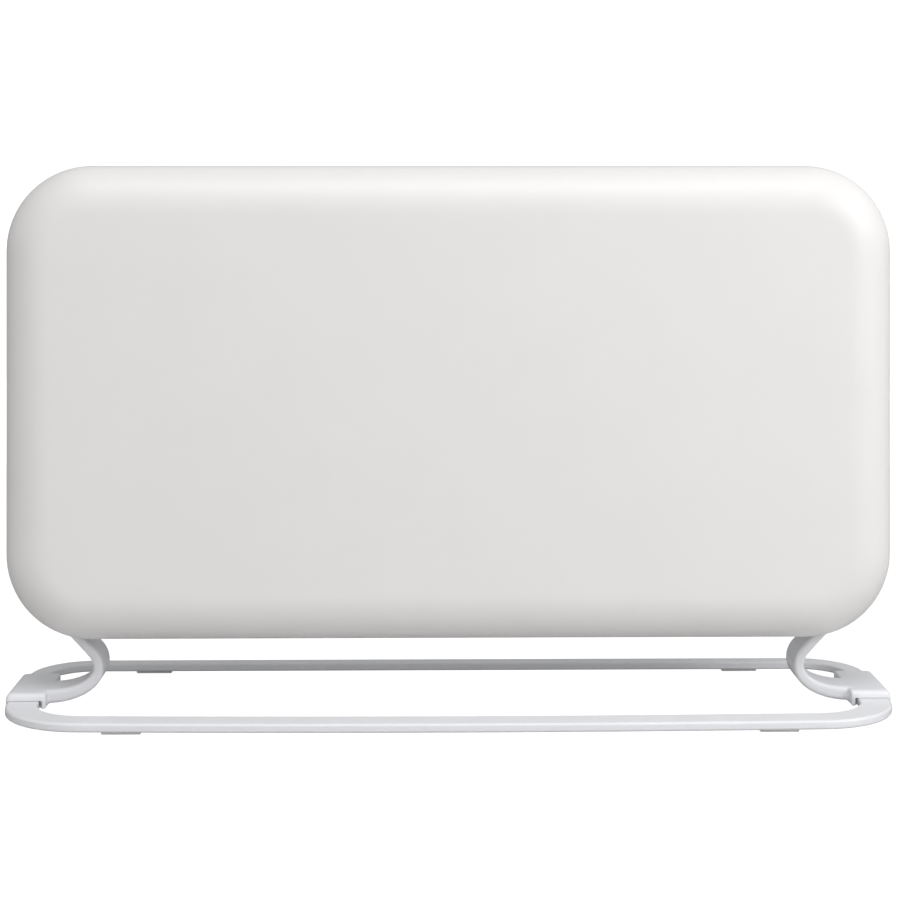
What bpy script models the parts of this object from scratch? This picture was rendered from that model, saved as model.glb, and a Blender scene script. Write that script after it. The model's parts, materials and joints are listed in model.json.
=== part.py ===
"""Free-standing convector heater on two ribbon feet and a floor tube loop.

Metres, +Z up. The front faces -Y. The origin is on the floor, midway between the feet and
midway between the outer faces of the front and rear floor tubes.
"""

import math

import bmesh
import bpy
from mathutils import Matrix, Vector

mm = 0.001

# Body
body_width = 700 * mm
body_height = 374 * mm
body_lift = 57.5 * mm  # floor to the underside
body_front_y = -62 * mm
front_depth = 40 * mm  # front shell, face to seam
rear_depth = 42 * mm  # rear shell, seam to back
corner_radius = 67.5 * mm
front_edge_radius = 32 * mm
rear_edge_radius = 26 * mm
steel_wall = 1.2 * mm
moulded_wall = 2 * mm
seam_lip_wall = 1.5 * mm
seam_lip_reach = 6 * mm  # into the front shell
corner_steps = 7
edge_steps = 5

# Fits shared by all pieces
clearance = 0.3 * mm
overrun = 6 * mm  # how far a cut runs past the wall it opens
weld_distance = 0.02 * mm
round_steps = 12
fine_steps = 16
arc_profile = 0.5  # bevel profile that gives a true arc
sharp_angle = math.radians(35)

# Floor tubes
base_inset = 1.3 * mm  # side of the body to the outer face of the tubes
base_depth = 220 * mm
front_tube_width = 25 * mm
front_tube_height = 7 * mm
front_bend_radius = 54 * mm
front_bow_radius = 8000 * mm  # of the front bar, seen from above
rear_tube_width = 16 * mm
rear_tube_height = 6.6 * mm
rear_bend_radius = 43 * mm
tube_round = 2 * mm
bore_round = 0.6 * mm
tube_wall = 1.5 * mm
tube_joint_y = -8 * mm
bend_steps = 8
bow_steps = 4
tube_round_steps = 3
pad_height = 2 * mm
pad_length = 30 * mm
pad_width = 9 * mm
pad_inset = 98.7 * mm  # tube's outer face to the pad's middle

# Foot brackets; insets count from the tubes' outer face
ribbon_front_y = -26 * mm
ribbon_rear_y = 14 * mm
ribbon_front_lean_share = 0.033  # back per height
ribbon_rear_lean_share = 0.046  # forward per height above the waist
ribbon_rear_turn_share = 0.154  # forward per length outward from the waist
plate_thickness = 11 * mm
ribbon_thickness = 8 * mm
plate_height = 10.4 * mm  # centre line of the flat stretch where the curve starts
plate_start_inset = 20 * mm
plate_start_height = 9.6 * mm
curve_start_inset = 30.7 * mm
curve_reach = 39 * mm
curve_rise = 21.8 * mm
upper_bend_radius = 18 * mm
upper_bend_turn = math.radians(43)
ribbon_round = 2.6 * mm
ribbon_round_segments = 2
ribbon_round_angle = math.radians(60)
saddle_front_y = -28 * mm
saddle_rear_y = 36 * mm
saddle_wall = 1.8 * mm
saddle_cap = 5.6 * mm  # over the tubes
saddle_bottom = 3 * mm
saddle_inset = 30 * mm
saddle_round = 7 * mm
foot_slot_gap = 3 * mm  # round the ribbon, in the body's underside
foot_slot_rise = 13 * mm  # of the underside where the slot ends

# Flanges of the feet, under the chassis; insets count from the side of the body
flange_lift = 13 * mm  # above the body's underside
flange_thickness = 5 * mm
flange_inner_inset = 88 * mm
flange_outer_inset = 38 * mm
flange_rear_y = 0 * mm
flange_front_y = -36 * mm

# Chassis; setbacks count from the body's front face or, where named rear, from its back
rail_setback = 18 * mm
rail_depth = 30 * mm
rail_sheet = 1.5 * mm
rail_upstand = 15 * mm
top_rail_upstand = 12 * mm
post_inset = 33.5 * mm
post_flange = 18.5 * mm
post_setback = 16.3 * mm
post_rear_setback = 10 * mm
post_top_gap = 38.8 * mm  # to the body's top
boss_radius = 5 * mm
boss_inset = 43 * mm
boss_spread = 126 * mm  # middle bosses to the upper and lower ones
partition_inset = 155 * mm
partition_rear_setback = 6 * mm
baffle_sheet = 0.8 * mm
front_baffle_setback = 20.5 * mm
rear_baffle_setback = 9.6 * mm
rear_baffle_inset = 50 * mm
rear_baffle_bottom_gap = 51 * mm
rear_baffle_top_gap = 73 * mm

# Screws
screw_radius = 2 * mm
screw_head_radius = 3.8 * mm
screw_head_height = 2.2 * mm
rear_screw_length = 14 * mm
bracket_screw_length = 6 * mm
bracket_screw_y = -26 * mm
bracket_screw_inset = 8 * mm  # from either end of the bracket's flange
tube_screw_radius = 1.6 * mm
tube_screw_head_radius = 3 * mm
tube_screw_head_height = 1.2 * mm
tube_screw_setback = 12 * mm  # from the tube's end
tube_screw_bite = 1.4 * mm  # into the saddle's roof
screw_crown_share = 0.6  # of the head's radius, flat on top
screw_rim_share = 0.4  # of the head's height, upright at the rim

# Heating element
element_setback = 47 * mm
element_lift = 91 * mm
element_inset = 95 * mm  # side of the body to the bar's left end
element_gap = 45 * mm  # bar's right end to the partition
fin_radius = 22 * mm
fin_sheet = 1.4 * mm
fin_count = 8
core_radius = 6 * mm
sheath_radius = 3.4 * mm
sheath_reach = 40 * mm
bush_length = 12 * mm
bush_radius = 9 * mm
bush_neck_radius = 6 * mm
hanger_setback = 20 * mm  # element's end to its hanger
hanger_sheet = 1.2 * mm
hanger_width = 34 * mm
hanger_half_height = 24 * mm

# Grilles, in openings of the rear shell
grille_inset = 88 * mm
grille_fascia_gap = 14 * mm
grille_seam_gap = 10 * mm
grille_reach = 30 * mm  # down or up the back of the shell
grille_slot_width = 4.4 * mm
grille_slot_rows = 4
grille_slot_columns = 5
grille_rib = 6 * mm
grille_margin = 8 * mm
slot_first_angle = math.radians(14)
slot_last_angle = math.radians(76)

# Controls
fascia_inset = 48 * mm
fascia_margin = 11 * mm  # control board's end to the fascia's
fascia_slope = math.radians(40)
fascia_wall = 2.5 * mm
fascia_crest_drop = 1 * mm
button_count = 3
button_radius = 5.5 * mm
button_rise = 1.6 * mm
button_travel = 1 * mm
button_stem_radius = 2 * mm
button_flange = 1.2 * mm
button_flange_sheet = 1 * mm
button_pitch = 15 * mm
button_gap = 0.4 * mm
button_margin = 15 * mm  # last button to the control board's end
button_lead = 18 * mm  # window's edge to the first button
window_margin = 7 * mm  # control board's other end to the window
window_height = 18 * mm
window_sheet = 1.6 * mm
board_sheet = 1.6 * mm
board_drop = 8.5 * mm  # fascia's inner face to the control board
board_width = 108 * mm
board_depth = 23 * mm
switch_half_width = 3 * mm
display_margin = 2 * mm  # window's edge to the display's, either end
display_depth = 15 * mm
display_height = 5.6 * mm
standoff_radius = 2.4 * mm
standoff_inset = 3 * mm  # from the control board's ends
control_lane = 3.5 * mm  # controls' line, down the slope from the fascia's middle
board_lane = 6.5 * mm  # control board's middle, likewise

# Power rocker and inlet
rocker_inset = 88 * mm
rocker_lift = 91 * mm
bezel_width = 23 * mm
bezel_height = 32 * mm
bezel_proud = 1.6 * mm
bezel_wall = 2 * mm
bezel_depth = 16 * mm
bezel_lap = 2.6 * mm
rocker_tilt = math.radians(8)
rocker_gap = 0.5 * mm
rocker_end_gap = 1 * mm
rocker_pivot_depth = 3 * mm
rocker_face_radius = 26 * mm
rocker_height = 4.2 * mm
rocker_depth = 5 * mm
rocker_heel_share = 0.8  # of the face's half height, where the back bevels begin
rocker_steps = 6
gland_inset = 88 * mm
gland_lift = 47 * mm
gland_flange_radius = 10 * mm
gland_rim_radius = 8 * mm
gland_flange = 2.6 * mm
gland_neck_radius = 7 * mm
gland_bore_radius = 3.4 * mm
gland_inner = 5 * mm

# Electronics bay
power_board_gap = 11 * mm  # to the partition
power_board_width = 86 * mm
power_board_lift = 133 * mm
power_board_height = 110 * mm
power_board_rear_setback = 16.4 * mm
power_boss_inset = 7 * mm
relay_size = (20 * mm, 16 * mm, 28 * mm)
relay_corner = (8 * mm, 64 * mm)  # on the power board, from its lower left corner
terminal_size = (50 * mm, 12 * mm, 15 * mm)
terminal_corner = (16 * mm, 10 * mm)
terminal_bore_radius = 2.4 * mm
terminal_bore_depth = 9 * mm
terminal_count = 3
terminal_pitch = 15 * mm
cutout_setback = 10.5 * mm  # from the front baffle
cutout_radius = 8 * mm
cutout_neck_radius = 5.6 * mm
cutout_height = 10 * mm
cutout_neck_height = 4 * mm
sensor_inset = 64 * mm
sensor_radius = 4 * mm
sensor_base_height = 5.2 * mm
sensor_neck_radius = 2.4 * mm
sensor_tip_radius = 2 * mm
sensor_height = 13 * mm
tilt_gap = 27 * mm  # to the partition
tilt_width = 26 * mm
tilt_setback = 4 * mm  # from the rail's front
tilt_depth = 18 * mm
tilt_height = 30 * mm
tilt_wall = 2 * mm
pivot_radius = 1.2 * mm
pivot_gap = 0.35 * mm
pendulum_drop = 4.4 * mm  # case's top to the pin
pendulum_eye_radius = 3.4 * mm
pendulum_arm = 3 * mm
pendulum_length = 17 * mm
pendulum_bob_radius = 5 * mm
pendulum_sheet = 6 * mm
lead_radius = 1.8 * mm
lead_straight = 7.2 * mm
lead_belly = (16 * mm, 32 * mm)  # forward of the terminals, and above the gland
lead_steps = 8

# Body, worked out from the sizes above
body_side_x = body_width / 2
body_top = body_lift + body_height
body_middle = body_lift + body_height / 2
seam_y = body_front_y + front_depth
body_rear_y = seam_y + rear_depth
rear_inner_y = body_rear_y - moulded_wall
rear_edge_y = body_rear_y - rear_edge_radius

# Base, worked out
base_width = body_width - 2 * base_inset
tube_bottom = pad_height + clearance
side_front_x = base_width / 2 - front_tube_width / 2
side_rear_x = base_width / 2 - rear_tube_width / 2
front_bar_y = -base_depth / 2 + front_tube_width / 2
rear_bar_y = base_depth / 2 - rear_tube_width / 2
pad_x = base_width / 2 - pad_inset
plate_start_x = base_width / 2 - plate_start_inset
curve_start_x = base_width / 2 - curve_start_inset
saddle_inner_x = base_width / 2 - saddle_inset
saddle_outer_x = base_width / 2 + saddle_wall
saddle_roof = tube_bottom + front_tube_height + clearance
saddle_top = saddle_roof + saddle_cap
ribbon_bend_z = plate_height + curve_rise
ribbon_waist_x = curve_start_x - curve_reach
ribbon_slope = math.tan(upper_bend_turn)
ribbon_half_section = ribbon_thickness / 2 / math.cos(upper_bend_turn)  # across the level
straight_x = ribbon_waist_x + upper_bend_radius * (1 - math.cos(upper_bend_turn))
straight_z = ribbon_bend_z + upper_bend_radius * math.sin(upper_bend_turn)
underside_x = straight_x + (body_lift - straight_z) * ribbon_slope
foot_slot_inner_x = underside_x - ribbon_half_section - foot_slot_gap
foot_slot_outer_x = underside_x + foot_slot_rise * ribbon_slope + ribbon_half_section + foot_slot_gap
foot_slot_reach = underside_x - ribbon_half_section - ribbon_waist_x
foot_slot_rear_y = ribbon_rear_y - ribbon_rear_turn_share * foot_slot_reach
ribbon_middle_y = (ribbon_front_y + ribbon_rear_y) / 2
ribbon_width = ribbon_rear_y - ribbon_front_y
flange_inner_x = body_side_x - flange_inner_inset
flange_outer_x = body_side_x - flange_outer_inset
flange_bottom = body_lift + flange_lift
flange_top = flange_bottom + flange_thickness
bracket_screw_xs = (flange_inner_x + bracket_screw_inset, flange_outer_x - bracket_screw_inset)

# Chassis and heating, worked out
rail_front_y = body_front_y + rail_setback
rail_rear_y = rail_front_y + rail_depth
rail_bottom = flange_top + clearance
rail_top = rail_bottom + rail_sheet
standing_z = rail_top + clearance
post_outer_x = body_side_x - post_inset
post_inner_x = post_outer_x - rail_sheet
post_front_y = body_front_y + post_setback
post_rear_y = body_rear_y - post_rear_setback
post_top = body_top - post_top_gap
rail_half_length = post_inner_x - clearance
top_rail_bottom = post_top + clearance
boss_x = body_side_x - boss_inset
boss_heights = (body_middle - boss_spread, body_middle, body_middle + boss_spread)
partition_x = body_side_x - partition_inset
partition_rear_y = body_rear_y - partition_rear_setback
front_baffle_y = body_front_y + front_baffle_setback
rear_baffle_y = body_rear_y - rear_baffle_setback
element_y = body_front_y + element_setback
element_z = body_lift + element_lift
element_left_x = element_inset - body_side_x
element_right_x = partition_x - element_gap
element_middle_x = (element_left_x + element_right_x) / 2

# Grilles and controls, worked out
fascia_width = board_width + 2 * fascia_margin
fascia_right_x = body_side_x - fascia_inset
fascia_left_x = fascia_right_x - fascia_width
fascia_x = (fascia_left_x + fascia_right_x) / 2
grille_left_x = grille_inset - body_side_x
grille_right_x = fascia_left_x - grille_fascia_gap
grille_length = grille_right_x - grille_left_x
grille_front_y = seam_y + grille_seam_gap
slope_front_y = grille_front_y + clearance
slope_front_z = body_top - fascia_crest_drop
slope_run = body_rear_y - clearance - slope_front_y
slope_middle_y = slope_front_y + slope_run / 2
slope_middle_z = slope_front_z - slope_run / 2 * math.tan(fascia_slope)
standoff_x = board_width / 2 - standoff_inset
button_first_x = board_width / 2 - button_margin - (button_count - 1) * button_pitch
window_left_x = window_margin - board_width / 2  # from the fascia's middle
window_width = button_first_x - button_lead - window_left_x
window_x = window_left_x + window_width / 2
display_width = window_width - 2 * display_margin
rocker_x = body_side_x - rocker_inset
rocker_z = body_lift + rocker_lift
gland_x = body_side_x - gland_inset
gland_z = body_lift + gland_lift

# Electronics bay, worked out
power_board_left_x = partition_x + power_board_gap
power_board_right_x = power_board_left_x + power_board_width
power_board_bottom = body_lift + power_board_lift
power_board_top = power_board_bottom + power_board_height
power_board_y = body_rear_y - power_board_rear_setback
parts_y = power_board_y - board_sheet - clearance  # back of what sits on the power board
terminal_left_x = power_board_left_x + terminal_corner[0]
terminal_bottom = power_board_bottom + terminal_corner[1]
terminal_xs = [
    terminal_left_x + terminal_size[0] / 2 + (i - (terminal_count - 1) / 2) * terminal_pitch
    for i in range(terminal_count)
]
terminal_y = parts_y - terminal_size[1] / 2
cutout_y = front_baffle_y + cutout_setback
sensor_x = body_side_x - sensor_inset
sensor_y = (rail_front_y + rail_rear_y) / 2
tilt_left_x = partition_x + tilt_gap
tilt_front_y = rail_front_y + tilt_setback

parts = None
cutters = None
finishes = {}


def start():
    """Empties the scene and makes the two collections."""
    global parts, cutters
    for thing in list(bpy.data.objects):
        bpy.data.objects.remove(thing, do_unlink=True)
    parts = bpy.data.collections.new("convector_heater")
    cutters = bpy.data.collections.new("cutters")
    bpy.context.scene.collection.children.link(parts)
    bpy.context.scene.collection.children.link(cutters)


def finish(name, colour, roughness, metallic=0.0):
    """Material with one Principled shader."""
    made = bpy.data.materials.new(name)
    made.use_nodes = True
    shader = made.node_tree.nodes["Principled BSDF"]
    shader.inputs["Base Color"].default_value = (*colour, 1)
    shader.inputs["Roughness"].default_value = roughness
    shader.inputs["Metallic"].default_value = metallic
    finishes[name] = made


def make_finishes():
    finish("powder_coat", (0.80, 0.79, 0.78), 0.4)
    finish("moulded_white", (0.76, 0.76, 0.75), 0.5)
    finish("cast_white", (0.78, 0.78, 0.80), 0.35)
    finish("zinc_sheet", (0.55, 0.56, 0.58), 0.35, 1.0)
    finish("aluminium", (0.75, 0.76, 0.78), 0.3, 1.0)
    finish("steel_screw", (0.50, 0.50, 0.52), 0.3, 1.0)
    finish("ceramic", (0.85, 0.83, 0.78), 0.6)
    finish("board_green", (0.02, 0.20, 0.09), 0.5)
    finish("black_plastic", (0.03, 0.03, 0.03), 0.45)
    finish("grey_plastic", (0.35, 0.36, 0.37), 0.5)
    finish("smoked_window", (0.02, 0.02, 0.03), 0.1)
    finish("rubber", (0.05, 0.05, 0.05), 0.9)
    finish("silicone_lead", (0.55, 0.08, 0.05), 0.6)


def add(name, mesh, coat=None, cutter=False):
    """Object for a mesh, in the parts or among the cutters."""
    thing = bpy.data.objects.new(name, mesh)
    if cutter:
        cutters.objects.link(thing)
        thing.hide_render = True
        thing.display_type = "WIRE"
    else:
        parts.objects.link(thing)
        mesh.materials.append(finishes[coat])
    return thing


def mesh_of(name, work):
    """Mesh from a bmesh whose normals are made to point out."""
    bmesh.ops.recalc_face_normals(work, faces=work.faces)
    mesh = bpy.data.meshes.new(name)
    work.to_mesh(mesh)
    work.free()
    return mesh


def block(name, low, high, coat=None, cutter=False):
    """Box between two corners."""
    work = bmesh.new()
    bmesh.ops.create_cube(work, size=1)
    size = [b - a for a, b in zip(low, high)]
    middle = [(a + b) / 2 for a, b in zip(low, high)]
    bmesh.ops.scale(work, vec=size, verts=work.verts)
    bmesh.ops.translate(work, vec=middle, verts=work.verts)
    return add(name, mesh_of(name, work), coat, cutter)


def rod(name, radius, start_point, end_point, coat=None, cutter=False, sides=round_steps):
    """Cylinder between two points."""
    start_point = Vector(start_point)
    run = Vector(end_point) - start_point
    work = bmesh.new()
    bmesh.ops.create_cone(
        work, cap_ends=True, segments=sides, radius1=radius, radius2=radius, depth=run.length
    )
    turn = run.to_track_quat("Z", "Y").to_matrix().to_4x4()
    bmesh.ops.transform(
        work, matrix=Matrix.Translation(start_point + run / 2) @ turn, verts=work.verts
    )
    return add(name, mesh_of(name, work), coat, cutter)


def slab(name, outline, thickness, centre, across, coat=None, cutter=False):
    """Flat outline filled and extruded both ways; across says which axis it is thick along."""
    curve = bpy.data.curves.new(name, "CURVE")
    curve.dimensions = "2D"
    curve.fill_mode = "BOTH"
    curve.extrude = thickness / 2
    spline = curve.splines.new("POLY")
    spline.points.add(len(outline) - 1)
    for point, (u, v) in zip(spline.points, outline):
        point.co = (u, v, 0, 1)
    spline.use_cyclic_u = True
    # X of the outline runs along the first axis left over, Y along the second
    turns = {
        "Z": Matrix.Identity(4),
        "Y": Matrix.Rotation(math.pi / 2, 4, "X"),
        "X": Matrix.Rotation(math.pi / 2, 4, "Z") @ Matrix.Rotation(math.pi / 2, 4, "X"),
    }
    drawn = bpy.data.objects.new(name + "_outline", curve)
    bpy.context.scene.collection.objects.link(drawn)
    drawn.matrix_world = Matrix.Translation(centre) @ turns[across]
    return meshed(drawn, name, coat, cutter)


def meshed(drawn, name, coat=None, cutter=False):
    """Mesh object in place of a curve, its caps welded to its sides."""
    bpy.context.view_layer.update()
    seen = drawn.evaluated_get(bpy.context.evaluated_depsgraph_get())
    mesh = bpy.data.meshes.new_from_object(seen)
    work = bmesh.new()
    work.from_mesh(mesh)
    bmesh.ops.remove_doubles(work, verts=work.verts, dist=weld_distance)
    bmesh.ops.transform(work, matrix=drawn.matrix_world, verts=work.verts)
    bpy.data.objects.remove(drawn, do_unlink=True)
    bpy.data.meshes.remove(mesh)
    return add(name, mesh_of(name, work), coat, cutter)


def turned(name, profile, centre, axis, coat, steps=fine_steps):
    """Profile of (radius, height) pairs, top to bottom, spun round an axis by a Screw modifier."""
    mesh = bpy.data.meshes.new(name)
    mesh.from_pydata(
        [(r, 0, h) for r, h in profile], [(i, i + 1) for i in range(len(profile) - 1)], []
    )
    thing = add(name, mesh, coat)
    thing.location = centre
    thing.rotation_euler = Vector(axis).to_track_quat("Z", "Y").to_euler()
    screw = thing.modifiers.new("turn", "SCREW")
    screw.steps = steps
    screw.render_steps = steps
    screw.use_merge_vertices = True
    screw.merge_threshold = weld_distance
    return thing


def combine(thing, other, operation, solver="EXACT"):
    """Boolean modifier on thing, with other as its operand."""
    step = thing.modifiers.new(operation.lower(), "BOOLEAN")
    step.operation = operation
    step.object = other
    step.solver = solver
    return thing


def cut(thing, *others, solver="EXACT"):
    for other in others:
        combine(thing, other, "DIFFERENCE", solver)
    return thing


def join(thing, *others, solver="EXACT"):
    for other in others:
        combine(thing, other, "UNION", solver)
    return thing


def arc(centre, radii, first, last, steps):
    """Points of an elliptic arc, both ends included."""
    angles = [first + (last - first) * i / steps for i in range(steps + 1)]
    return [(centre[0] + radii[0] * math.cos(a), centre[1] + radii[1] * math.sin(a)) for a in angles]


def flat_bar(width, height, radius):
    """Outline of a tube's section: a flat rectangle with rounded corners."""
    reach, rise = width / 2 - radius, height / 2 - radius
    outline = []
    for quarter, (u, v) in enumerate(((reach, rise), (-reach, rise), (-reach, -rise), (reach, -rise))):
        first = quarter * math.pi / 2
        outline += arc((u, v), (radius, radius), first, first + math.pi / 2, tube_round_steps)
    return outline


# Body shells


def rounded(work, edges, radius, segments):
    """Round edges, each a true arc."""
    bmesh.ops.bevel(
        work, geom=edges, offset=radius, segments=segments, profile=arc_profile, affect="EDGES"
    )


def pan_mesh(name, depth, edge_radius, face_side, inset=0, closed=False):
    """Rounded box lying between the seam and its face; the seam side is open unless closed."""
    work = bmesh.new()
    bmesh.ops.create_cube(work, size=1)
    size = (body_width - 2 * inset, depth, body_height - 2 * inset)
    bmesh.ops.scale(work, vec=size, verts=work.verts)
    lying = [e for e in work.edges if e.verts[0].co.y * e.verts[1].co.y < 0]
    rounded(work, lying, corner_radius - inset, corner_steps)
    faces = {s: max(work.faces, key=lambda f, s=s: s * f.normal.y) for s in (-1, 1)}
    rim = list(faces[face_side].edges)
    seam_face = faces[-face_side]
    if not closed:
        bmesh.ops.delete(work, geom=[seam_face], context="FACES_ONLY")
    if edge_radius:
        rounded(work, rim, edge_radius, edge_steps)
    mesh = bpy.data.meshes.new(name)
    work.to_mesh(mesh)
    work.free()
    return mesh


def walled(thing, wall):
    step = thing.modifiers.new("wall", "SOLIDIFY")
    step.thickness = wall
    step.offset = -1
    step.use_even_offset = True


def rear_pan(name, coat=None, cutter=False, closed=False):
    depth = rear_depth - clearance
    thing = add(name, pan_mesh(name, depth, rear_edge_radius, 1, closed=closed), coat, cutter)
    thing.location = (0, seam_y + clearance + depth / 2, body_middle)
    return thing


def foot_slot(side, thing):
    """Cutter for the notch in a shell's underside where a ribbon foot comes through."""
    xs = sorted((side * foot_slot_inner_x, side * foot_slot_outer_x))
    low = (xs[0], ribbon_front_y, body_lift - overrun)
    high = (xs[1], foot_slot_rear_y, flange_top)
    return block(thing.name + "_foot_slot", low, high, cutter=True)


def front_shell():
    mesh = pan_mesh("front_shell", front_depth, front_edge_radius, -1)
    shell = add("front_shell", mesh, "powder_coat")
    shell.location = (0, body_front_y + front_depth / 2, body_middle)
    walled(shell, steel_wall)
    for side in (-1, 1):
        for height in boss_heights:
            front = (side * boss_x, body_front_y + steel_wall / 2, height)
            back = (side * boss_x, post_front_y - clearance, height)
            join(shell, rod("front_boss", boss_radius, front, back, cutter=True))
        cut(shell, foot_slot(side, shell))
    return shell


def grille_box(name, direction, gap):
    """Space of a grille; direction is 1 for the outlet at the top and -1 for the intake below."""
    edge = body_middle + direction * body_height / 2
    ends = sorted((edge + direction * overrun, edge - direction * (grille_reach - gap)))
    low = (grille_left_x + gap, grille_front_y + gap, ends[0])
    high = (grille_right_x - gap, body_rear_y + overrun, ends[1])
    return block(name, low, high, cutter=True)


def fascia_box(name, gap):
    low = (fascia_left_x + gap, grille_front_y + gap, body_top - grille_reach + gap)
    high = (fascia_right_x - gap, body_rear_y + overrun, body_top + overrun)
    return block(name, low, high, cutter=True)


def seam_lip():
    """Ring inside the seam that aligns the two shells."""
    inset = steel_wall + clearance
    depth = 2 * seam_lip_reach
    outer_mesh = pan_mesh("seam_lip", depth, 0, 1, inset=inset, closed=True)
    lip = add("seam_lip", outer_mesh, cutter=True)
    lip.location = (0, seam_y, body_middle)
    inset += seam_lip_wall
    inner_mesh = pan_mesh("seam_lip_bore", depth + 2 * overrun, 0, 1, inset=inset, closed=True)
    bore = add("seam_lip_bore", inner_mesh, cutter=True)
    bore.location = (0, seam_y, body_middle)
    return cut(lip, bore)


def rear_shell():
    shell = rear_pan("rear_shell", "moulded_white")
    walled(shell, moulded_wall)
    added = [seam_lip()]
    taken = []
    wall_middle = body_rear_y - moulded_wall / 2
    for side in (-1, 1):
        for z in boss_heights:
            x = side * boss_x
            front, back = (x, post_rear_y + clearance, z), (x, wall_middle, z)
            added.append(rod("rear_boss", boss_radius, front, back, cutter=True))
            front, back = (x, post_rear_y - overrun, z), (x, body_rear_y + overrun, z)
            taken.append(rod("screw_way", screw_radius + clearance, front, back, cutter=True))
    inset = power_boss_inset
    for x in (power_board_left_x + inset, power_board_right_x - inset):
        for z in (power_board_bottom + inset, power_board_top - inset):
            front = (x, power_board_y + clearance, z)
            added.append(rod("board_boss", boss_radius, front, (x, wall_middle, z), cutter=True))
    taken += [grille_box("outlet_opening", 1, 0), grille_box("intake_opening", -1, 0)]
    taken.append(fascia_box("fascia_opening", 0))
    taken.append(bezel_block("bezel_opening", bezel_lap - clearance, -bezel_depth, overrun))
    gland_front = (gland_x, rear_inner_y - overrun, gland_z)
    gland_back = (gland_x, body_rear_y + overrun, gland_z)
    taken.append(rod("gland_hole", gland_neck_radius + clearance, gland_front, gland_back, cutter=True))
    taken += [foot_slot(side, shell) for side in (-1, 1)]
    join(shell, *added, solver="MANIFOLD")
    cut(shell, *taken, solver="MANIFOLD")


def slots(direction):
    """Rows of slots round the edge curve, as one cutter of separate bars."""
    work = bmesh.new()
    pitch = (grille_length - 2 * grille_margin + grille_rib) / grille_slot_columns
    centre_z = body_middle + direction * (body_height / 2 - rear_edge_radius)
    for row in range(grille_slot_rows):
        share = row / (grille_slot_rows - 1)
        angle = slot_first_angle + (slot_last_angle - slot_first_angle) * share
        for column in range(grille_slot_columns):
            made = bmesh.ops.create_cube(work, size=1)["verts"]
            size = (pitch - grille_rib, 2 * overrun, grille_slot_width)
            bmesh.ops.scale(work, vec=size, verts=made)
            bmesh.ops.translate(work, vec=(0, rear_edge_radius, 0), verts=made)
            turn = Matrix.Rotation(direction * angle, 3, "X")
            bmesh.ops.rotate(work, cent=(0, 0, 0), matrix=turn, verts=made)
            x = grille_left_x + grille_margin + pitch * column + (pitch - grille_rib) / 2
            bmesh.ops.translate(work, vec=(x, rear_edge_y, centre_z), verts=made)
    return add("grille_slots", mesh_of("grille_slots", work), cutter=True)


def grille(name, direction):
    panel = rear_pan(name, "moulded_white")
    walled(panel, moulded_wall)
    combine(panel, grille_box(name + "_space", direction, clearance), "INTERSECT")
    cut(panel, slots(direction))


# Controls on the sloping fascia


def control_plane():
    """Empty at the middle of the slope: X is the heater's, Y runs down the slope, Z points out."""
    plane = bpy.data.objects.new("control_plane", None)
    parts.objects.link(plane)
    plane.location = (fascia_x, slope_middle_y, slope_middle_z)
    plane.rotation_euler = (-fascia_slope, 0, 0)
    return plane


def on_plane(plane, thing):
    thing.parent = plane
    return thing


def prism(name, points, half_width, x):
    """Outline in the side view, (y, z) pairs, made into a bar along X."""
    return slab(name, points, 2 * half_width, (x, 0, 0), "X", cutter=True)


def button_places():
    return [button_first_x + button_pitch * i for i in range(button_count)]


def fascia(plane):
    panel = rear_pan("control_fascia", "moulded_white", closed=True)
    combine(panel, fascia_box("fascia_space", clearance), "INTERSECT")
    half = (fascia_right_x - fascia_left_x) / 2 - clearance - fascia_wall
    drop = math.tan(fascia_slope)
    far_y = body_rear_y + overrun
    far = (far_y, slope_front_z - (far_y - slope_front_y) * drop)
    early_y = slope_front_y - overrun
    early = (early_y, slope_front_z + overrun * drop)
    above = [early, far, (far_y, body_top + overrun), (early_y, body_top + overrun)]
    cut(panel, prism("fascia_recess", above, half, fascia_x))
    sink = fascia_wall / math.cos(fascia_slope)
    inner_y = body_rear_y - fascia_wall
    start_y = slope_front_y + fascia_wall
    floor_z = body_top - grille_reach - overrun
    below = [
        (start_y, floor_z),
        (inner_y, floor_z),
        (inner_y, slope_front_z - (inner_y - slope_front_y) * drop - sink),
        (start_y, slope_front_z - (start_y - slope_front_y) * drop - sink),
    ]
    cut(panel, prism("fascia_hollow", below, half, fascia_x))
    for x in (-standoff_x, standoff_x):
        top = (x, control_lane, -fascia_wall / 2)
        foot = (x, control_lane, -fascia_wall - board_drop + clearance)
        join(panel, on_plane(plane, rod("standoff", standoff_radius, top, foot, cutter=True)))
    for x in button_places():
        low, high = (x, control_lane, -fascia_wall - clearance), (x, control_lane, overrun)
        radius = button_radius + button_gap
        hole = rod("button_hole", radius, low, high, cutter=True, sides=fine_steps)
        cut(panel, on_plane(plane, hole))
    cut(panel, window_block(plane, "window_pocket", 0, -window_sheet, overrun))
    cut(panel, window_block(plane, "window_hole", fascia_wall, -fascia_wall - overrun / 2, overrun))


def window_block(plane, name, shrink, bottom, top, coat=None):
    """Block on the slope, in line with the window; shrink is taken off each side."""
    half_width, half_height = window_width / 2 - shrink, window_height / 2 - shrink
    low = (window_x - half_width, control_lane - half_height, bottom)
    high = (window_x + half_width, control_lane + half_height, top)
    return on_plane(plane, block(name, low, high, coat, cutter=coat is None))


def window(plane):
    bottom = clearance - window_sheet
    window_block(plane, "display_window", clearance, bottom, clearance, "smoked_window")


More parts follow.
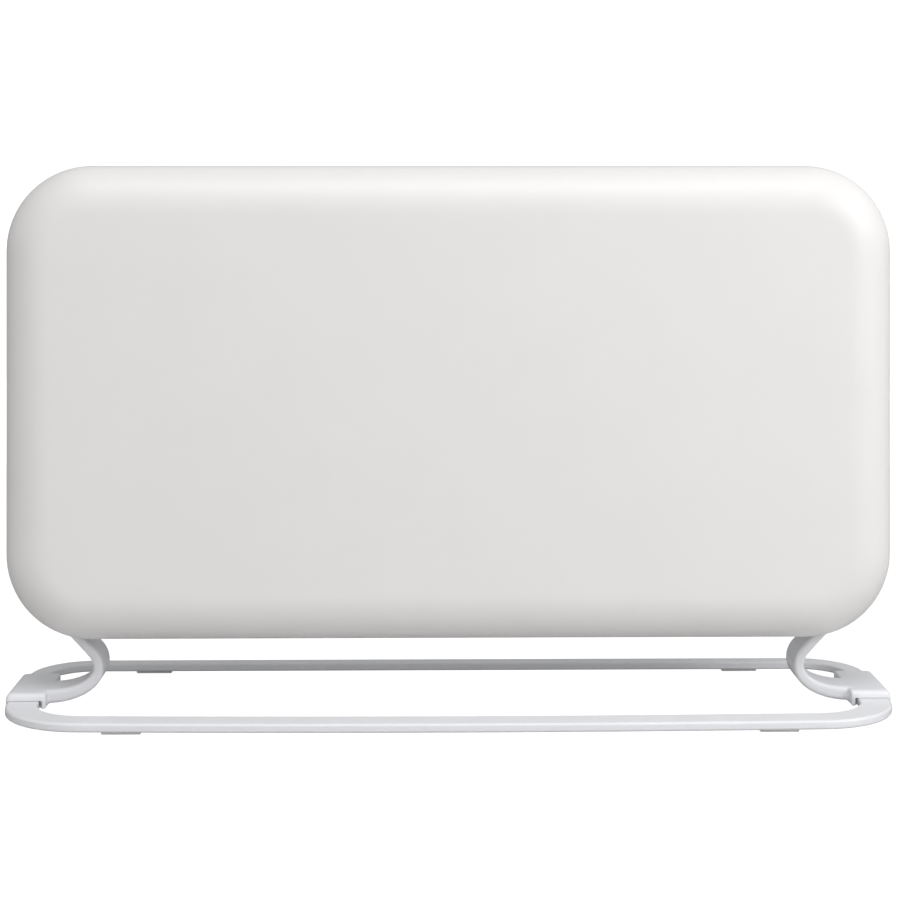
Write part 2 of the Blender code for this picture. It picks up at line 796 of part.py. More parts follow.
def button(plane, name, x):
    """Cap, flange under the fascia that stops it, and stem down to its switch."""
    under = -fascia_wall - clearance
    profile = [
        (0, button_rise),
        (button_radius - button_flange_sheet, button_rise),
        (button_radius, button_rise - button_flange_sheet),
        (button_radius, under),
        (button_radius + button_flange, under),
        (button_radius + button_flange, under - button_flange_sheet),
        (button_stem_radius, under - button_flange_sheet),
        (button_stem_radius, -fascia_wall - board_drop / 2),
        (0, -fascia_wall - board_drop / 2),
    ]
    thing = turned(name, profile, (x, control_lane, 0), (0, 0, 1), "grey_plastic")
    on_plane(plane, thing)


def control_board(plane):
    top = -fascia_wall - board_drop
    low = (-board_width / 2, board_lane - board_depth / 2, top - board_sheet)
    high = (board_width / 2, board_lane + board_depth / 2, top)
    board = on_plane(plane, block("control_board", low, high, "board_green"))
    switch_top = -fascia_wall - board_drop / 2 - button_travel - clearance
    half = switch_half_width
    for x in button_places():
        low = (x - half, control_lane - half, top - board_sheet / 2)
        high = (x + half, control_lane + half, switch_top)
        join(board, on_plane(plane, block("key_switch", low, high, cutter=True)))
    low = (window_x - display_width / 2, control_lane - display_depth / 2, top + clearance)
    high = (low[0] + display_width, low[1] + display_depth, low[2] + display_height)
    on_plane(plane, block("display_module", low, high, "black_plastic"))


def bezel_block(name, shrink, back, front):
    """Upright box round the rocker; shrink is taken off each side, back and front count from the case."""
    half_width, half_height = bezel_width / 2 - shrink, bezel_height / 2 - shrink
    low = (rocker_x - half_width, body_rear_y + back, rocker_z - half_height)
    high = (rocker_x + half_width, body_rear_y + front, rocker_z + half_height)
    return block(name, low, high, cutter=True)


def rocker_frame():
    low = (rocker_x - bezel_width / 2, body_rear_y + clearance, rocker_z - bezel_height / 2)
    high = (rocker_x + bezel_width / 2, body_rear_y + bezel_proud, rocker_z + bezel_height / 2)
    frame = block("rocker_frame", low, high, "black_plastic")
    join(frame, bezel_block("rocker_case", bezel_lap, -bezel_depth, bezel_proud / 2))
    cut(frame, bezel_block("rocker_well", bezel_lap + bezel_wall, -bezel_depth + bezel_wall, overrun))


def power_rocker():
    """Rocker with a hollow curved face, standing at its off stop; its origin is on the pivot."""
    half = bezel_height / 2 - bezel_lap - bezel_wall - rocker_end_gap
    turn = math.asin(half / rocker_face_radius)
    centre_y = rocker_height + rocker_face_radius * math.cos(turn)
    radii = (rocker_face_radius, rocker_face_radius)
    face = arc((centre_y, 0), radii, math.pi - turn, math.pi + turn, rocker_steps)
    heel = half * rocker_heel_share
    outline = face + [(-rocker_depth / 2, -heel), (-rocker_depth, 0), (-rocker_depth / 2, heel)]
    width = bezel_width - 2 * (bezel_lap + bezel_wall + rocker_gap)
    rocker = slab("power_rocker", outline, width, (0, 0, 0), "X", "black_plastic")
    rocker.location = (rocker_x, body_rear_y - rocker_pivot_depth, rocker_z)
    rocker.rotation_euler = (-rocker_tilt, 0, 0)


def cord_gland():
    outer = clearance + gland_flange
    inner = -moulded_wall - clearance
    profile = [
        (gland_bore_radius, outer),
        (gland_rim_radius, outer),
        (gland_flange_radius, outer - gland_flange / 2),
        (gland_flange_radius, clearance),
        (gland_neck_radius, clearance),
        (gland_neck_radius, inner),
        (gland_flange_radius, inner),
        (gland_flange_radius, inner - gland_inner / 2),
        (gland_neck_radius, inner - gland_inner),
        (gland_bore_radius, inner - gland_inner),
        (gland_bore_radius, outer),
    ]
    turned("cord_gland", profile, (gland_x, body_rear_y, gland_z), (0, 1, 0), "black_plastic")


# Floor tubes and feet


def straight_half(side_x, bar_y, radius):
    """The left half of a U in plan: round the corner to where the straight bar starts."""
    away = math.copysign(1, bar_y)
    corner = (radius - side_x, bar_y - away * radius)
    return arc(corner, (radius, away * radius), math.pi, math.pi / 2, bend_steps)


def bowed_half(side_x, bar_y, radius, bow_radius):
    """The left half of a U in plan: round the corner, then along the bowed bar to its middle."""
    away = math.copysign(1, bar_y)
    between = bow_radius - radius
    turn = math.asin((side_x - radius) / between)
    centre_y = bar_y - away * bow_radius
    corner = (radius - side_x, centre_y + away * between * math.cos(turn))
    bend = arc(corner, (radius, away * radius), math.pi, math.pi / 2 + turn, bend_steps)
    radii = (bow_radius, away * bow_radius)
    bow = arc((0, centre_y), radii, math.pi / 2 + turn, math.pi / 2, bow_steps)
    return bend + bow[1:-1] + [(0, bar_y)]


def floor_tube(name, side_x, half, width, height):
    """U tube of flat section: a curve with its section as bevel, bored hollow by a smaller one."""
    middle = tube_bottom + height / 2
    away = math.copysign(1, half[-1][1])
    joint = tube_joint_y + away * clearance / 2
    left = [(-side_x, joint)] + half
    path = left + [(-x, y) for x, y in reversed(left) if x < 0]
    tube = swept_bar(name, path, middle, flat_bar(width, height, tube_round), "cast_white")
    inner = flat_bar(width - 2 * tube_wall, height - 2 * tube_wall, bore_round)
    return cut(tube, swept_bar(name + "_bore", bored(path, away), middle, inner))


def bored(path, away):
    """Path run past both of its ends, so the bore opens them."""
    first = (path[0][0], path[0][1] - away * overrun)
    last = (path[-1][0], path[-1][1] - away * overrun)
    return [first] + path[1:-1] + [last]


def swept_bar(name, path, z, outline, coat=None):
    section = bpy.data.curves.new(name + "_section", "CURVE")
    section.dimensions = "2D"
    spline = section.splines.new("POLY")
    spline.points.add(len(outline) - 1)
    for point, (u, v) in zip(spline.points, outline):
        point.co = (u, v, 0, 1)
    spline.use_cyclic_u = True
    profile = bpy.data.objects.new(name + "_section", section)
    cutters.objects.link(profile)
    profile.hide_render = True
    curve = bpy.data.curves.new(name, "CURVE")
    curve.dimensions = "3D"
    curve.twist_mode = "Z_UP"
    curve.bevel_mode = "OBJECT"
    curve.bevel_object = profile
    curve.use_fill_caps = True
    line = curve.splines.new("POLY")
    line.points.add(len(path) - 1)
    for point, (x, y) in zip(line.points, path):
        point.co = (x, y, z, 1)
    drawn = bpy.data.objects.new(name + "_path", curve)
    bpy.context.scene.collection.objects.link(drawn)
    tube = meshed(drawn, name, coat, cutter=coat is None)
    bpy.data.objects.remove(profile, do_unlink=True)
    return tube


def ribbon_line():
    """Centre line of a right-hand ribbon foot as (x, z, thickness), from the saddle up to its flange."""
    line = [(plate_start_x, plate_start_height, plate_thickness)]
    centre = (curve_start_x, ribbon_bend_z)
    quarter = arc(centre, (curve_reach, curve_rise), math.pi * 3 / 2, math.pi, bend_steps)
    for i, (x, z) in enumerate(quarter):
        share = i / bend_steps
        line.append((x, z, plate_thickness + (ribbon_thickness - plate_thickness) * share))
    centre = (ribbon_waist_x + upper_bend_radius, ribbon_bend_z)
    radii = (upper_bend_radius, upper_bend_radius)
    upper = arc(centre, radii, math.pi, math.pi - upper_bend_turn, bend_steps // 2)
    line += [(x, z, ribbon_thickness) for x, z in upper[1:]]
    end_z = flange_bottom + flange_thickness / 2
    end_x = straight_x + (end_z - straight_z) * ribbon_slope
    line.append((end_x, end_z, ribbon_thickness))
    return line


def ribbon_outline():
    """The centre line thickened: one side up, the other side back."""
    line = ribbon_line()
    upper, lower = [], []
    for i, (x, z, thickness) in enumerate(line):
        before = line[max(i - 1, 0)]
        after = line[min(i + 1, len(line) - 1)]
        run = Vector((after[0] - before[0], after[1] - before[1])).normalized()
        across = Vector((-run.y, run.x)) * thickness / 2
        upper.append((x + across.x, z + across.y))
        lower.append((x - across.x, z - across.y))
    return upper + lower[::-1]


def sided(outline, side):
    """A right-hand outline, mirrored for the left."""
    return outline if side > 0 else [(-x, z) for x, z in outline]


def ribbon(name, side):
    """The ribbon itself, widest at its waist, with both edges turned inward and rounded."""
    middle = (0, ribbon_middle_y, 0)
    bracket = slab(name, sided(ribbon_outline(), side), ribbon_width, middle, "Y", "cast_white")
    for vertex in bracket.data.vertices:
        place = vertex.co
        if place.y < ribbon_middle_y:
            place.y += ribbon_front_lean_share * (place.z - plate_height)
        else:
            place.y -= ribbon_rear_lean_share * (place.z - ribbon_bend_z)
            place.y -= ribbon_rear_turn_share * (abs(place.x) - ribbon_waist_x)
    rounding = bracket.modifiers.new("rounding", "BEVEL")
    rounding.width = ribbon_round
    rounding.segments = ribbon_round_segments
    rounding.limit_method = "ANGLE"
    rounding.angle_limit = ribbon_round_angle
    return bracket


def saddle(name, side):
    """Bar over the tubes' ends, its outer upper edge rounded."""
    centre = (saddle_outer_x - saddle_round, saddle_top - saddle_round)
    outline = [(saddle_outer_x, saddle_bottom)]
    outline += arc(centre, (saddle_round, saddle_round), 0, math.pi / 2, bend_steps // 2)
    outline += [(saddle_inner_x, saddle_top), (saddle_inner_x, saddle_bottom)]
    middle = (0, (saddle_rear_y + saddle_front_y) / 2, 0)
    reach = saddle_rear_y - saddle_front_y
    return slab(name, sided(outline, side), reach, middle, "Y", cutter=True)


def channel(name, side, tube_x, width, height, first, last):
    """Cutter for a tube's end: its section with clearance round it, open below."""
    half = width / 2 + clearance
    roof = tube_bottom + height + clearance
    radius = tube_round + clearance
    radii = (radius, radius)
    centre_z = tube_bottom + height - tube_round
    outline = [(tube_x + half, -overrun)]
    outline += arc((tube_x + half - radius, centre_z), radii, 0, math.pi / 2, tube_round_steps)
    outline += arc((tube_x - half + radius, centre_z), radii, math.pi / 2, math.pi, tube_round_steps)
    outline.append((tube_x - half, -overrun))
    outline = [(x, min(z, roof)) for x, z in outline]
    middle = (0, (first + last) / 2, 0)
    return slab(name, sided(outline, side), last - first, middle, "Y", cutter=True)


def foot_bracket(name, side):
    bracket = ribbon(name, side)
    xs = sorted((side * flange_inner_x, side * flange_outer_x))
    low = (xs[0], flange_front_y, flange_bottom)
    high = (xs[1], flange_rear_y, flange_top)
    join(bracket, saddle(name + "_saddle", side), block(name + "_flange", low, high, cutter=True))
    size = (side_front_x, front_tube_width, front_tube_height)
    cut(bracket, channel(name + "_seat", side, *size, saddle_front_y - overrun, tube_joint_y))
    size = (side_rear_x, rear_tube_width, rear_tube_height)
    rear_end = saddle_rear_y + overrun
    cut(bracket, channel(name + "_seat", side, *size, tube_joint_y - overrun / 2, rear_end))
    for x in bracket_screw_xs:
        low = (side * x, bracket_screw_y, flange_top - bracket_screw_length)
        high = (side * x, bracket_screw_y, flange_top + overrun)
        cut(bracket, rod(name + "_hole", screw_radius + clearance, low, high, cutter=True))
    for x, y, height in tube_screw_places():
        roof = tube_bottom + height + clearance
        low = (side * x, y, roof - overrun / 2)
        high = (side * x, y, roof + tube_screw_bite + clearance)
        cut(bracket, rod(name + "_tube_hole", tube_screw_radius + clearance, low, high, cutter=True))


def tube_screw_places():
    """x, y and tube height of each screw that holds a tube's end, right-hand side."""
    return [
        (side_front_x, tube_joint_y - tube_screw_setback, front_tube_height),
        (side_rear_x, tube_joint_y + tube_screw_setback, rear_tube_height),
    ]


def screw(name, place, axis, length, radius, head_radius, head_height):
    """Pan-head screw; its origin is under the head and its shank runs against the axis."""
    profile = [
        (0, head_height),
        (head_radius * screw_crown_share, head_height),
        (head_radius, head_height * screw_rim_share),
        (head_radius, 0),
        (radius, 0),
        (radius, -length),
        (0, -length),
    ]
    turned(name, profile, place, axis, "steel_screw", round_steps)


def case_screw(name, place, axis, length):
    screw(name, place, axis, length, screw_radius, screw_head_radius, screw_head_height)


def tube_screw(name, tube, x, y, height):
    """Screw up through a tube's end into the saddle, its head sunk in the tube."""
    roof = tube_bottom + height + clearance
    low = (x, y, tube_bottom - overrun)
    under_head = tube_bottom + tube_screw_head_height
    way_top = (x, y, roof + overrun)
    way = rod("tube_screw_way", tube_screw_radius + clearance, low, way_top, cutter=True)
    seat_top = (x, y, under_head + clearance)
    seat = rod("tube_screw_seat", tube_screw_head_radius + clearance, low, seat_top, cutter=True)
    cut(tube, way, seat, solver="MANIFOLD")
    length = roof + tube_screw_bite - under_head
    sizes = (tube_screw_radius, tube_screw_head_radius, tube_screw_head_height)
    screw(name, (x, y, under_head), (0, 0, -1), length, *sizes)


def base():
    """Both tubes, both feet, and the pads and screws of each."""
    half = bowed_half(side_front_x, front_bar_y, front_bend_radius, front_bow_radius)
    front_sizes = (front_tube_width, front_tube_height)
    front = floor_tube("front_floor_tube", side_front_x, half, *front_sizes)
    half = straight_half(side_rear_x, rear_bar_y, rear_bend_radius)
    rear = floor_tube("rear_floor_tube", side_rear_x, half, rear_tube_width, rear_tube_height)
    for side, hand in ((-1, "left"), (1, "right")):
        foot_bracket("foot_bracket_" + hand, side)
        for end, y in (("front", front_bar_y), ("rear", rear_bar_y)):
            low = (side * pad_x - pad_length / 2, y - pad_width / 2, 0)
            high = (side * pad_x + pad_length / 2, y + pad_width / 2, pad_height)
            block(f"floor_pad_{end}_{hand}", low, high, "rubber")
        for end, tube, (x, y, height) in zip(("front", "rear"), (front, rear), tube_screw_places()):
            tube_screw(f"tube_screw_{end}_{hand}", tube, side * x, y, height)


# Chassis


def chassis_post(name, side):
    outer, inner = side * post_outer_x, side * post_inner_x
    tip = side * (post_outer_x - post_flange)
    outline = [
        (outer, post_front_y),
        (tip, post_front_y),
        (tip, post_front_y + rail_sheet),
        (inner, post_front_y + rail_sheet),
        (inner, post_rear_y - rail_sheet),
        (tip, post_rear_y - rail_sheet),
        (tip, post_rear_y),
        (outer, post_rear_y),
    ]
    middle = (standing_z + post_top) / 2
    post = slab(name, outline, post_top - standing_z, (0, 0, middle), "Z", "zinc_sheet")
    for height in boss_heights:
        front = (side * boss_x, post_rear_y - overrun, height)
        back = (side * boss_x, post_rear_y + overrun, height)
        cut(post, rod(name + "_hole", screw_radius + clearance, front, back, cutter=True))


def angle_rail(name, bottom, upstand):
    outline = [
        (rail_front_y, bottom),
        (rail_rear_y, bottom),
        (rail_rear_y, bottom + rail_sheet),
        (rail_front_y + rail_sheet, bottom + rail_sheet),
        (rail_front_y + rail_sheet, bottom + upstand),
        (rail_front_y, bottom + upstand),
    ]
    return slab(name, outline, 2 * rail_half_length, (0, 0, 0), "X", "zinc_sheet")


def chassis():
    rail = angle_rail("bottom_rail", rail_bottom, rail_upstand)
    angle_rail("top_rail", top_rail_bottom, top_rail_upstand)
    for side, hand in ((-1, "left"), (1, "right")):
        chassis_post("chassis_post_" + hand, side)
        for where, x in zip(("inner", "outer"), bracket_screw_xs):
            low = (side * x, bracket_screw_y, rail_bottom - overrun / 2)
            high = (side * x, bracket_screw_y, rail_top + overrun / 2)
            cut(rail, rod("rail_hole", screw_radius + clearance, low, high, cutter=True))
            place = (side * x, bracket_screw_y, rail_top + clearance)
            case_screw(f"bracket_screw_{where}_{hand}", place, (0, 0, 1), bracket_screw_length)
        for height, level in zip(boss_heights, ("bottom", "middle", "top")):
            place = (side * boss_x, body_rear_y + clearance, height)
            case_screw(f"shell_screw_{level}_{hand}", place, (0, 1, 0), rear_screw_length)
    low = (partition_x, front_baffle_y, standing_z)
    block("partition", low, (partition_x + rail_sheet, partition_rear_y, post_top), "zinc_sheet")
    baffle_end = partition_x - clearance
    low = (-post_inner_x + clearance, front_baffle_y, standing_z)
    block("front_baffle", low, (baffle_end, front_baffle_y + baffle_sheet, post_top), "aluminium")
    low = (rear_baffle_inset - body_side_x, rear_baffle_y, body_lift + rear_baffle_bottom_gap)
    high = (baffle_end, rear_baffle_y + baffle_sheet, body_top - rear_baffle_top_gap)
    block("rear_baffle", low, high, "aluminium")


# Heating


def heating_element():
    """Finned aluminium bar with the steel sheath standing out at both ends."""
    outline = []
    half_fin = math.asin(fin_sheet / 2 / core_radius)
    tip_fin = math.asin(fin_sheet / 2 / fin_radius)
    fin = ((core_radius, -half_fin), (fin_radius, -tip_fin), (fin_radius, tip_fin), (core_radius, half_fin))
    for i in range(fin_count):
        middle = math.pi * (2 * i + 1) / fin_count
        for radius, turn in fin:
            outline.append((radius * math.cos(middle + turn), radius * math.sin(middle + turn)))
    length = element_right_x - element_left_x
    centre = (element_middle_x, element_y, element_z)
    element = slab("heating_element", outline, length, centre, "X", "aluminium")
    left = (element_left_x - sheath_reach, element_y, element_z)
    right = (element_right_x + sheath_reach, element_y, element_z)
    join(element, rod("sheath", sheath_radius, left, right, cutter=True))


def hanger(name, seat_x, hang_x, side):
    """Bent sheet from a wall to the element's bush: foot on the wall, leg, plate with the bush's hole."""
    half = hanger_half_height
    foot = seat_x - side * hanger_sheet
    face = hang_x
    back = hang_x + side * hanger_sheet
    outline = [
        (seat_x, element_z + half),
        (foot, element_z + half),
        (foot, element_z - half + hanger_sheet),
        (back, element_z - half + hanger_sheet),
        (back, element_z + half),
        (face, element_z + half),
        (face, element_z - half),
        (seat_x, element_z - half),
    ]
    sheet = slab(name, outline, hanger_width, (0, element_y, 0), "Y", "zinc_sheet")
    low, high = (face - overrun, element_y, element_z), (back + overrun, element_y, element_z)
    radius = bush_neck_radius + clearance
    cut(sheet, rod(name + "_hole", radius, low, high, cutter=True, sides=fine_steps))


def bush(name, hang_x, side):
    """Ceramic bush with a neck through the hanger's hole and a bore for the sheath."""
    half = hanger_sheet / 2 + clearance
    reach = bush_length / 2
    bore = sheath_radius + clearance
    profile = [
        (bore, reach),
        (bush_radius, reach),
        (bush_radius, half),
        (bush_neck_radius, half),
        (bush_neck_radius, -half),
        (bush_radius, -half),
        (bush_radius, -reach),
        (bore, -reach),
        (bore, reach),
    ]
    centre = (hang_x + side * hanger_sheet / 2, element_y, element_z)
    turned(name, profile, centre, (1, 0, 0), "ceramic")


def heating():
    heating_element()
    left_x = element_left_x - hanger_setback
    right_x = element_right_x + hanger_setback
    hanger("element_hanger_left", -post_inner_x + clearance, left_x, -1)
    hanger("element_hanger_right", partition_x - clearance, right_x, 1)
    bush("element_bush_left", left_x, -1)
    bush("element_bush_right", right_x, 1)
    thermal_cutout()


def thermal_cutout():
    """Disc thermostat under the top rail, with a narrower neck below."""
    neck_top = cutout_neck_height - cutout_height
    profile = [
        (0, 0),
        (cutout_radius, 0),
        (cutout_radius, neck_top),
        (cutout_neck_radius, neck_top),
        (cutout_neck_radius, -cutout_height),
        (0, -cutout_height),
    ]
    turned("thermal_cutout", profile, (element_middle_x, cutout_y, post_top), (0, 0, 1), "ceramic")


# Electronics bay


def on_board(name, size, corner, coat):
    """Block on the power board's front, its corner counted from the board's lower left one."""
    low = (power_board_left_x + corner[0], parts_y - size[1], power_board_bottom + corner[1])
    return block(name, low, (low[0] + size[0], parts_y, low[2] + size[2]), coat)


def power_board():
    low = (power_board_left_x, power_board_y - board_sheet, power_board_bottom)
    high = (power_board_right_x, power_board_y, power_board_top)
    block("power_board", low, high, "board_green")
    on_board("relay", relay_size, relay_corner, "black_plastic")
    terminals = on_board("terminal_block", terminal_size, terminal_corner, "ceramic")
    for x in terminal_xs:
        mouth = (x, terminal_y, terminal_bottom - overrun)
        end = (x, terminal_y, terminal_bottom + terminal_bore_depth)
        cut(terminals, rod("terminal_bore", terminal_bore_radius, mouth, end, cutter=True))


def room_sensor():
    profile = [
        (0, sensor_height),
        (sensor_tip_radius, sensor_height),
        (sensor_neck_radius, sensor_base_height),
        (sensor_radius, sensor_base_height),
        (sensor_radius, 0),
        (0, 0),
    ]
    turned("room_sensor", profile, (sensor_x, sensor_y, standing_z), (0, 0, 1), "grey_plastic")


def tilt_switch():
    """Open-topped box with a pendulum on a cross pin."""
    rear_y = tilt_front_y + tilt_depth
    right_x = tilt_left_x + tilt_width
    top = standing_z + tilt_height
    low = (tilt_left_x, tilt_front_y, standing_z)
    case = block("tilt_switch_case", low, (right_x, rear_y, top), "grey_plastic")
    low = (tilt_left_x + tilt_wall, tilt_front_y + tilt_wall, standing_z + tilt_wall)
    high = (right_x - tilt_wall, rear_y - tilt_wall, top + overrun)
    cut(case, block("tilt_well", low, high, cutter=True))
    x = tilt_left_x + tilt_width / 2
    z = top - pendulum_drop
    ends = (x, tilt_front_y - overrun, z), (x, rear_y + overrun, z)
    cut(case, rod("pin_hole", pivot_radius + clearance, *ends, cutter=True))
    rod("tilt_pin", pivot_radius, (x, tilt_front_y, z), (x, rear_y, z), "steel_screw")
    pendulum(x, (tilt_front_y + rear_y) / 2, z)


def pendulum(x, y, z):
    """Eye on the pin, arm and round bob; the origin is on the pin's axis."""
    half = pendulum_sheet / 2
    weight = rod("tilt_pendulum", pendulum_eye_radius, (0, -half, 0), (0, half, 0), "steel_screw")
    weight.location = (x, y, z)
    bob_z = z - pendulum_length
    low = (x - pendulum_arm / 2, y - half, bob_z)
    high = (x + pendulum_arm / 2, y + half, z - pivot_radius - pivot_gap)
    join(weight, block("pendulum_arm", low, high, cutter=True))
    front, back = (x, y - half, bob_z), (x, y + half, bob_z)
    join(weight, rod("pendulum_bob", pendulum_bob_radius, front, back, cutter=True))
    front, back = (x, y - tilt_depth / 2, z), (x, y + tilt_depth / 2, z)
    cut(weight, rod("pendulum_eye", pivot_radius + pivot_gap, front, back, cutter=True))


def between(a, b, c, d, t):
    """Point of the smooth curve through four points, from the second to the third as t goes 0 to 1."""
    slope = (c - a) * t
    bend = (a * 2 - b * 5 + c * 4 - d) * t**2
    twist = (b * 3 - a - c * 3 + d) * t**3
    return b + (slope + bend + twist) / 2


def lead(name, points):
    """Wire on a smooth curve through its own points, as a polyline tube."""
    places = [Vector(p) for p in points]
    places = [places[0] * 2 - places[1]] + places + [places[-1] * 2 - places[-2]]
    path = []
    for i in range(1, len(places) - 2):
        for k in range(lead_steps):
            path.append(between(*places[i - 1 : i + 3], k / lead_steps))
    path.append(places[-2])
    curve = bpy.data.curves.new(name, "CURVE")
    curve.dimensions = "3D"
    curve.bevel_depth = lead_radius
    curve.bevel_resolution = 1
    curve.use_fill_caps = True
    spline = curve.splines.new("POLY")
    spline.points.add(len(path) - 1)
    for point, place in zip(spline.points, path):
        point.co = (*place, 1)
    drawn = bpy.data.objects.new(name + "_path", curve)
    bpy.context.scene.collection.objects.link(drawn)
    meshed(drawn, name, "silicone_lead")


def mains_lead():
    """From the cord gland up to the right-hand terminal."""
    gland_end = rear_inner_y - clearance - gland_inner - clearance
    x = terminal_xs[-1]
    mouth_z = terminal_bottom - clearance
    lead(
        "mains_lead",
        [
            (gland_x, gland_end, gland_z),
            (gland_x, gland_end - lead_straight, gland_z),
            (x, terminal_y - lead_belly[0], gland_z + lead_belly[1]),
            (x, terminal_y, mouth_z - lead_straight),
            (x, terminal_y, mouth_z),
        ],
    )


def build():
    start()
    make_finishes()
    front_shell()
    rear_shell()
    grille("outlet_grille", 1)
    grille("intake_grille", -1)
    plane = control_plane()
    fascia(plane)
    window(plane)
    for name, x in zip(("minus_button", "plus_button", "mode_button"), button_places()):
        button(plane, name, x)
    control_board(plane)
    rocker_frame()
    power_rocker()
    cord_gland()
    base()
    chassis()
    heating()
    power_board()
    room_sensor()
    tilt_switch()
    mains_lead()
    for thing in parts.objects:
        if thing.type == "MESH":
            thing.data.shade_smooth()
            thing.data.set_sharp_from_angle(angle=sharp_angle)


build()
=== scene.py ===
# %% [markdown]
# # A free-standing convector heater
# The heater is a low white case on two bent ribbon feet, which clamp a loop of flat floor tube.
# The frame below holds every solid of it at its real size. This notebook gives each one its looks.
# Where a solid is already right it keeps its shape and gets a finish. Where the real surface is
# curved, a finer surface is worked out from a formula and stands in for the solid.

# %% Load the frame
import json
import math

import bmesh
import bpy
import numpy as np
from mathutils import Matrix, Vector


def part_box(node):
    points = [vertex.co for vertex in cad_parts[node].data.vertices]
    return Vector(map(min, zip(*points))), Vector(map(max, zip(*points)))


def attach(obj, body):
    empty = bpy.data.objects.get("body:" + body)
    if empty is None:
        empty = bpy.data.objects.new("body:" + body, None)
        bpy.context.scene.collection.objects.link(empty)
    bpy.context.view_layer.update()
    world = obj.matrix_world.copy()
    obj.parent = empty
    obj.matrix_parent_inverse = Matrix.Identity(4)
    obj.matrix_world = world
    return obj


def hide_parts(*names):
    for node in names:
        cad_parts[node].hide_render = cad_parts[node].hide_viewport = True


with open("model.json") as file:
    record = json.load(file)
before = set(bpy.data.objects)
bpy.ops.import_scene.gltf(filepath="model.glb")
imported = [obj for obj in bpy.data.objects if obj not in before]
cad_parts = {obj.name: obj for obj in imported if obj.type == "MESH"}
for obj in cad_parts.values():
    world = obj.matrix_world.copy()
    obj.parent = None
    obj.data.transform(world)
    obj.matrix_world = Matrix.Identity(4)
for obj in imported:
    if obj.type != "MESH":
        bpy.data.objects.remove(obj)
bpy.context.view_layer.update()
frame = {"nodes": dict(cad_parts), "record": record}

mm = 0.001
print("solids in the frame:", len(frame["nodes"]))

# %% [markdown]
# ## Sizes
# The case, tubes and feet are measured on the frame's own solids, so that a change there carries
# over. Only what the solids' boxes don't say, such as the round of a corner, is named here. The
# clearance is the gap between neighbours, and past is how far a cutter runs out past a surface.

# %% Sizes read from the frame
front_low, front_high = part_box("front_shell")
rear_low, rear_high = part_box("rear_shell")
half_width = front_high.x
half_height = (front_high.z - front_low.z) / 2
middle_z = (front_high.z + front_low.z) / 2
face_y, seam_y, back_y = front_low.y, front_high.y, rear_high.y
case_top, case_bottom = front_high.z, front_low.z
corner_radius = 67.5 * mm
clearance = 0.3 * mm
past = 6 * mm
print("case", [round(2000 * v) for v in (half_width, half_height)], "mm")

# %% [markdown]
# ## Surfaces from arrays
# Most pieces are a grid of points, computed as one array and joined into quads. A grid may close on
# itself either way, like a tube or a ring, and its ends may be filled. Repeated points, as at a
# pole, are merged, and the normals are then made to point out.

# %% Grid surfaces
merge_distance = 0.001 * mm


def grid_faces(rows, columns, wrap_rows=False, wrap_columns=False):
    """Quads between neighbouring points of a rows x columns grid, numbered row by row."""
    index = np.arange(rows * columns).reshape(rows, columns)
    if wrap_rows:
        index = np.vstack([index, index[:1]])
    if wrap_columns:
        index = np.hstack([index, index[:, :1]])
    corners = [index[:-1, :-1], index[1:, :-1], index[1:, 1:], index[:-1, 1:]]
    return np.stack(corners, -1).reshape(-1, 4)


def surface(name, points, wrap_rows=False, wrap_columns=False, caps=False, keep=None):
    """Mesh of a grid of points; keep is a mask of the quads that stay, and caps fill the ends."""
    rows, columns = points.shape[:2]
    faces = grid_faces(rows, columns, wrap_rows, wrap_columns)
    if keep is not None:
        faces = faces[keep.reshape(-1)]
    faces = faces.tolist()
    if caps:
        last = (rows - 1) * columns
        faces += [list(range(columns)), list(range(last, last + columns))]
    mesh = bpy.data.meshes.new(name)
    mesh.from_pydata(points.reshape(-1, 3).tolist(), [], faces)
    work = bmesh.new()
    work.from_mesh(mesh)
    bmesh.ops.remove_doubles(work, verts=work.verts, dist=merge_distance)
    loose = [v for v in work.verts if not v.link_faces]
    bmesh.ops.delete(work, geom=loose, context="VERTS")
    bmesh.ops.recalc_face_normals(work, faces=work.faces)
    work.to_mesh(mesh)
    work.free()
    return mesh

# %% [markdown]
# Arcs, profiles turned round an axis and outlines with rounded corners shape nearly everything
# here. They are written once, as formulas on whole arrays.

# %% Arcs and turned shapes
def lerp(a, b, count):
    """count evenly spaced values from a to b, both included."""
    return np.linspace(a, b, count)


def arc(centre, radii, first, last, count):
    """Points of an elliptic arc: centre + (cos, sin) of evenly spaced angles times the radii."""
    angle = lerp(first, last, count)
    x = centre[0] + radii[0] * np.cos(angle)
    y = centre[1] + radii[1] * np.sin(angle)
    return np.stack([x, y], -1)


def turned_points(profile, steps):
    """Grid of points (r cos a, r sin a, height), a row for each (r, height) of the profile."""
    profile = np.array(profile, float)
    angle = lerp(0, 2 * math.pi, steps + 1)[:-1]
    x = np.outer(profile[:, 0], np.cos(angle))
    y = np.outer(profile[:, 0], np.sin(angle))
    return np.stack([x, y, np.repeat(profile[:, 1:2], steps, 1)], -1)


def turned(name, profile, place, axis, steps=48):
    """Turned mesh: the profile's heights run along the axis, from a place on it."""
    turn = Vector(axis).to_track_quat("Z", "Y").to_matrix()
    points = turned_points(profile, steps) @ np.array(turn).T + np.array(place)
    return surface(name, points, wrap_columns=True)


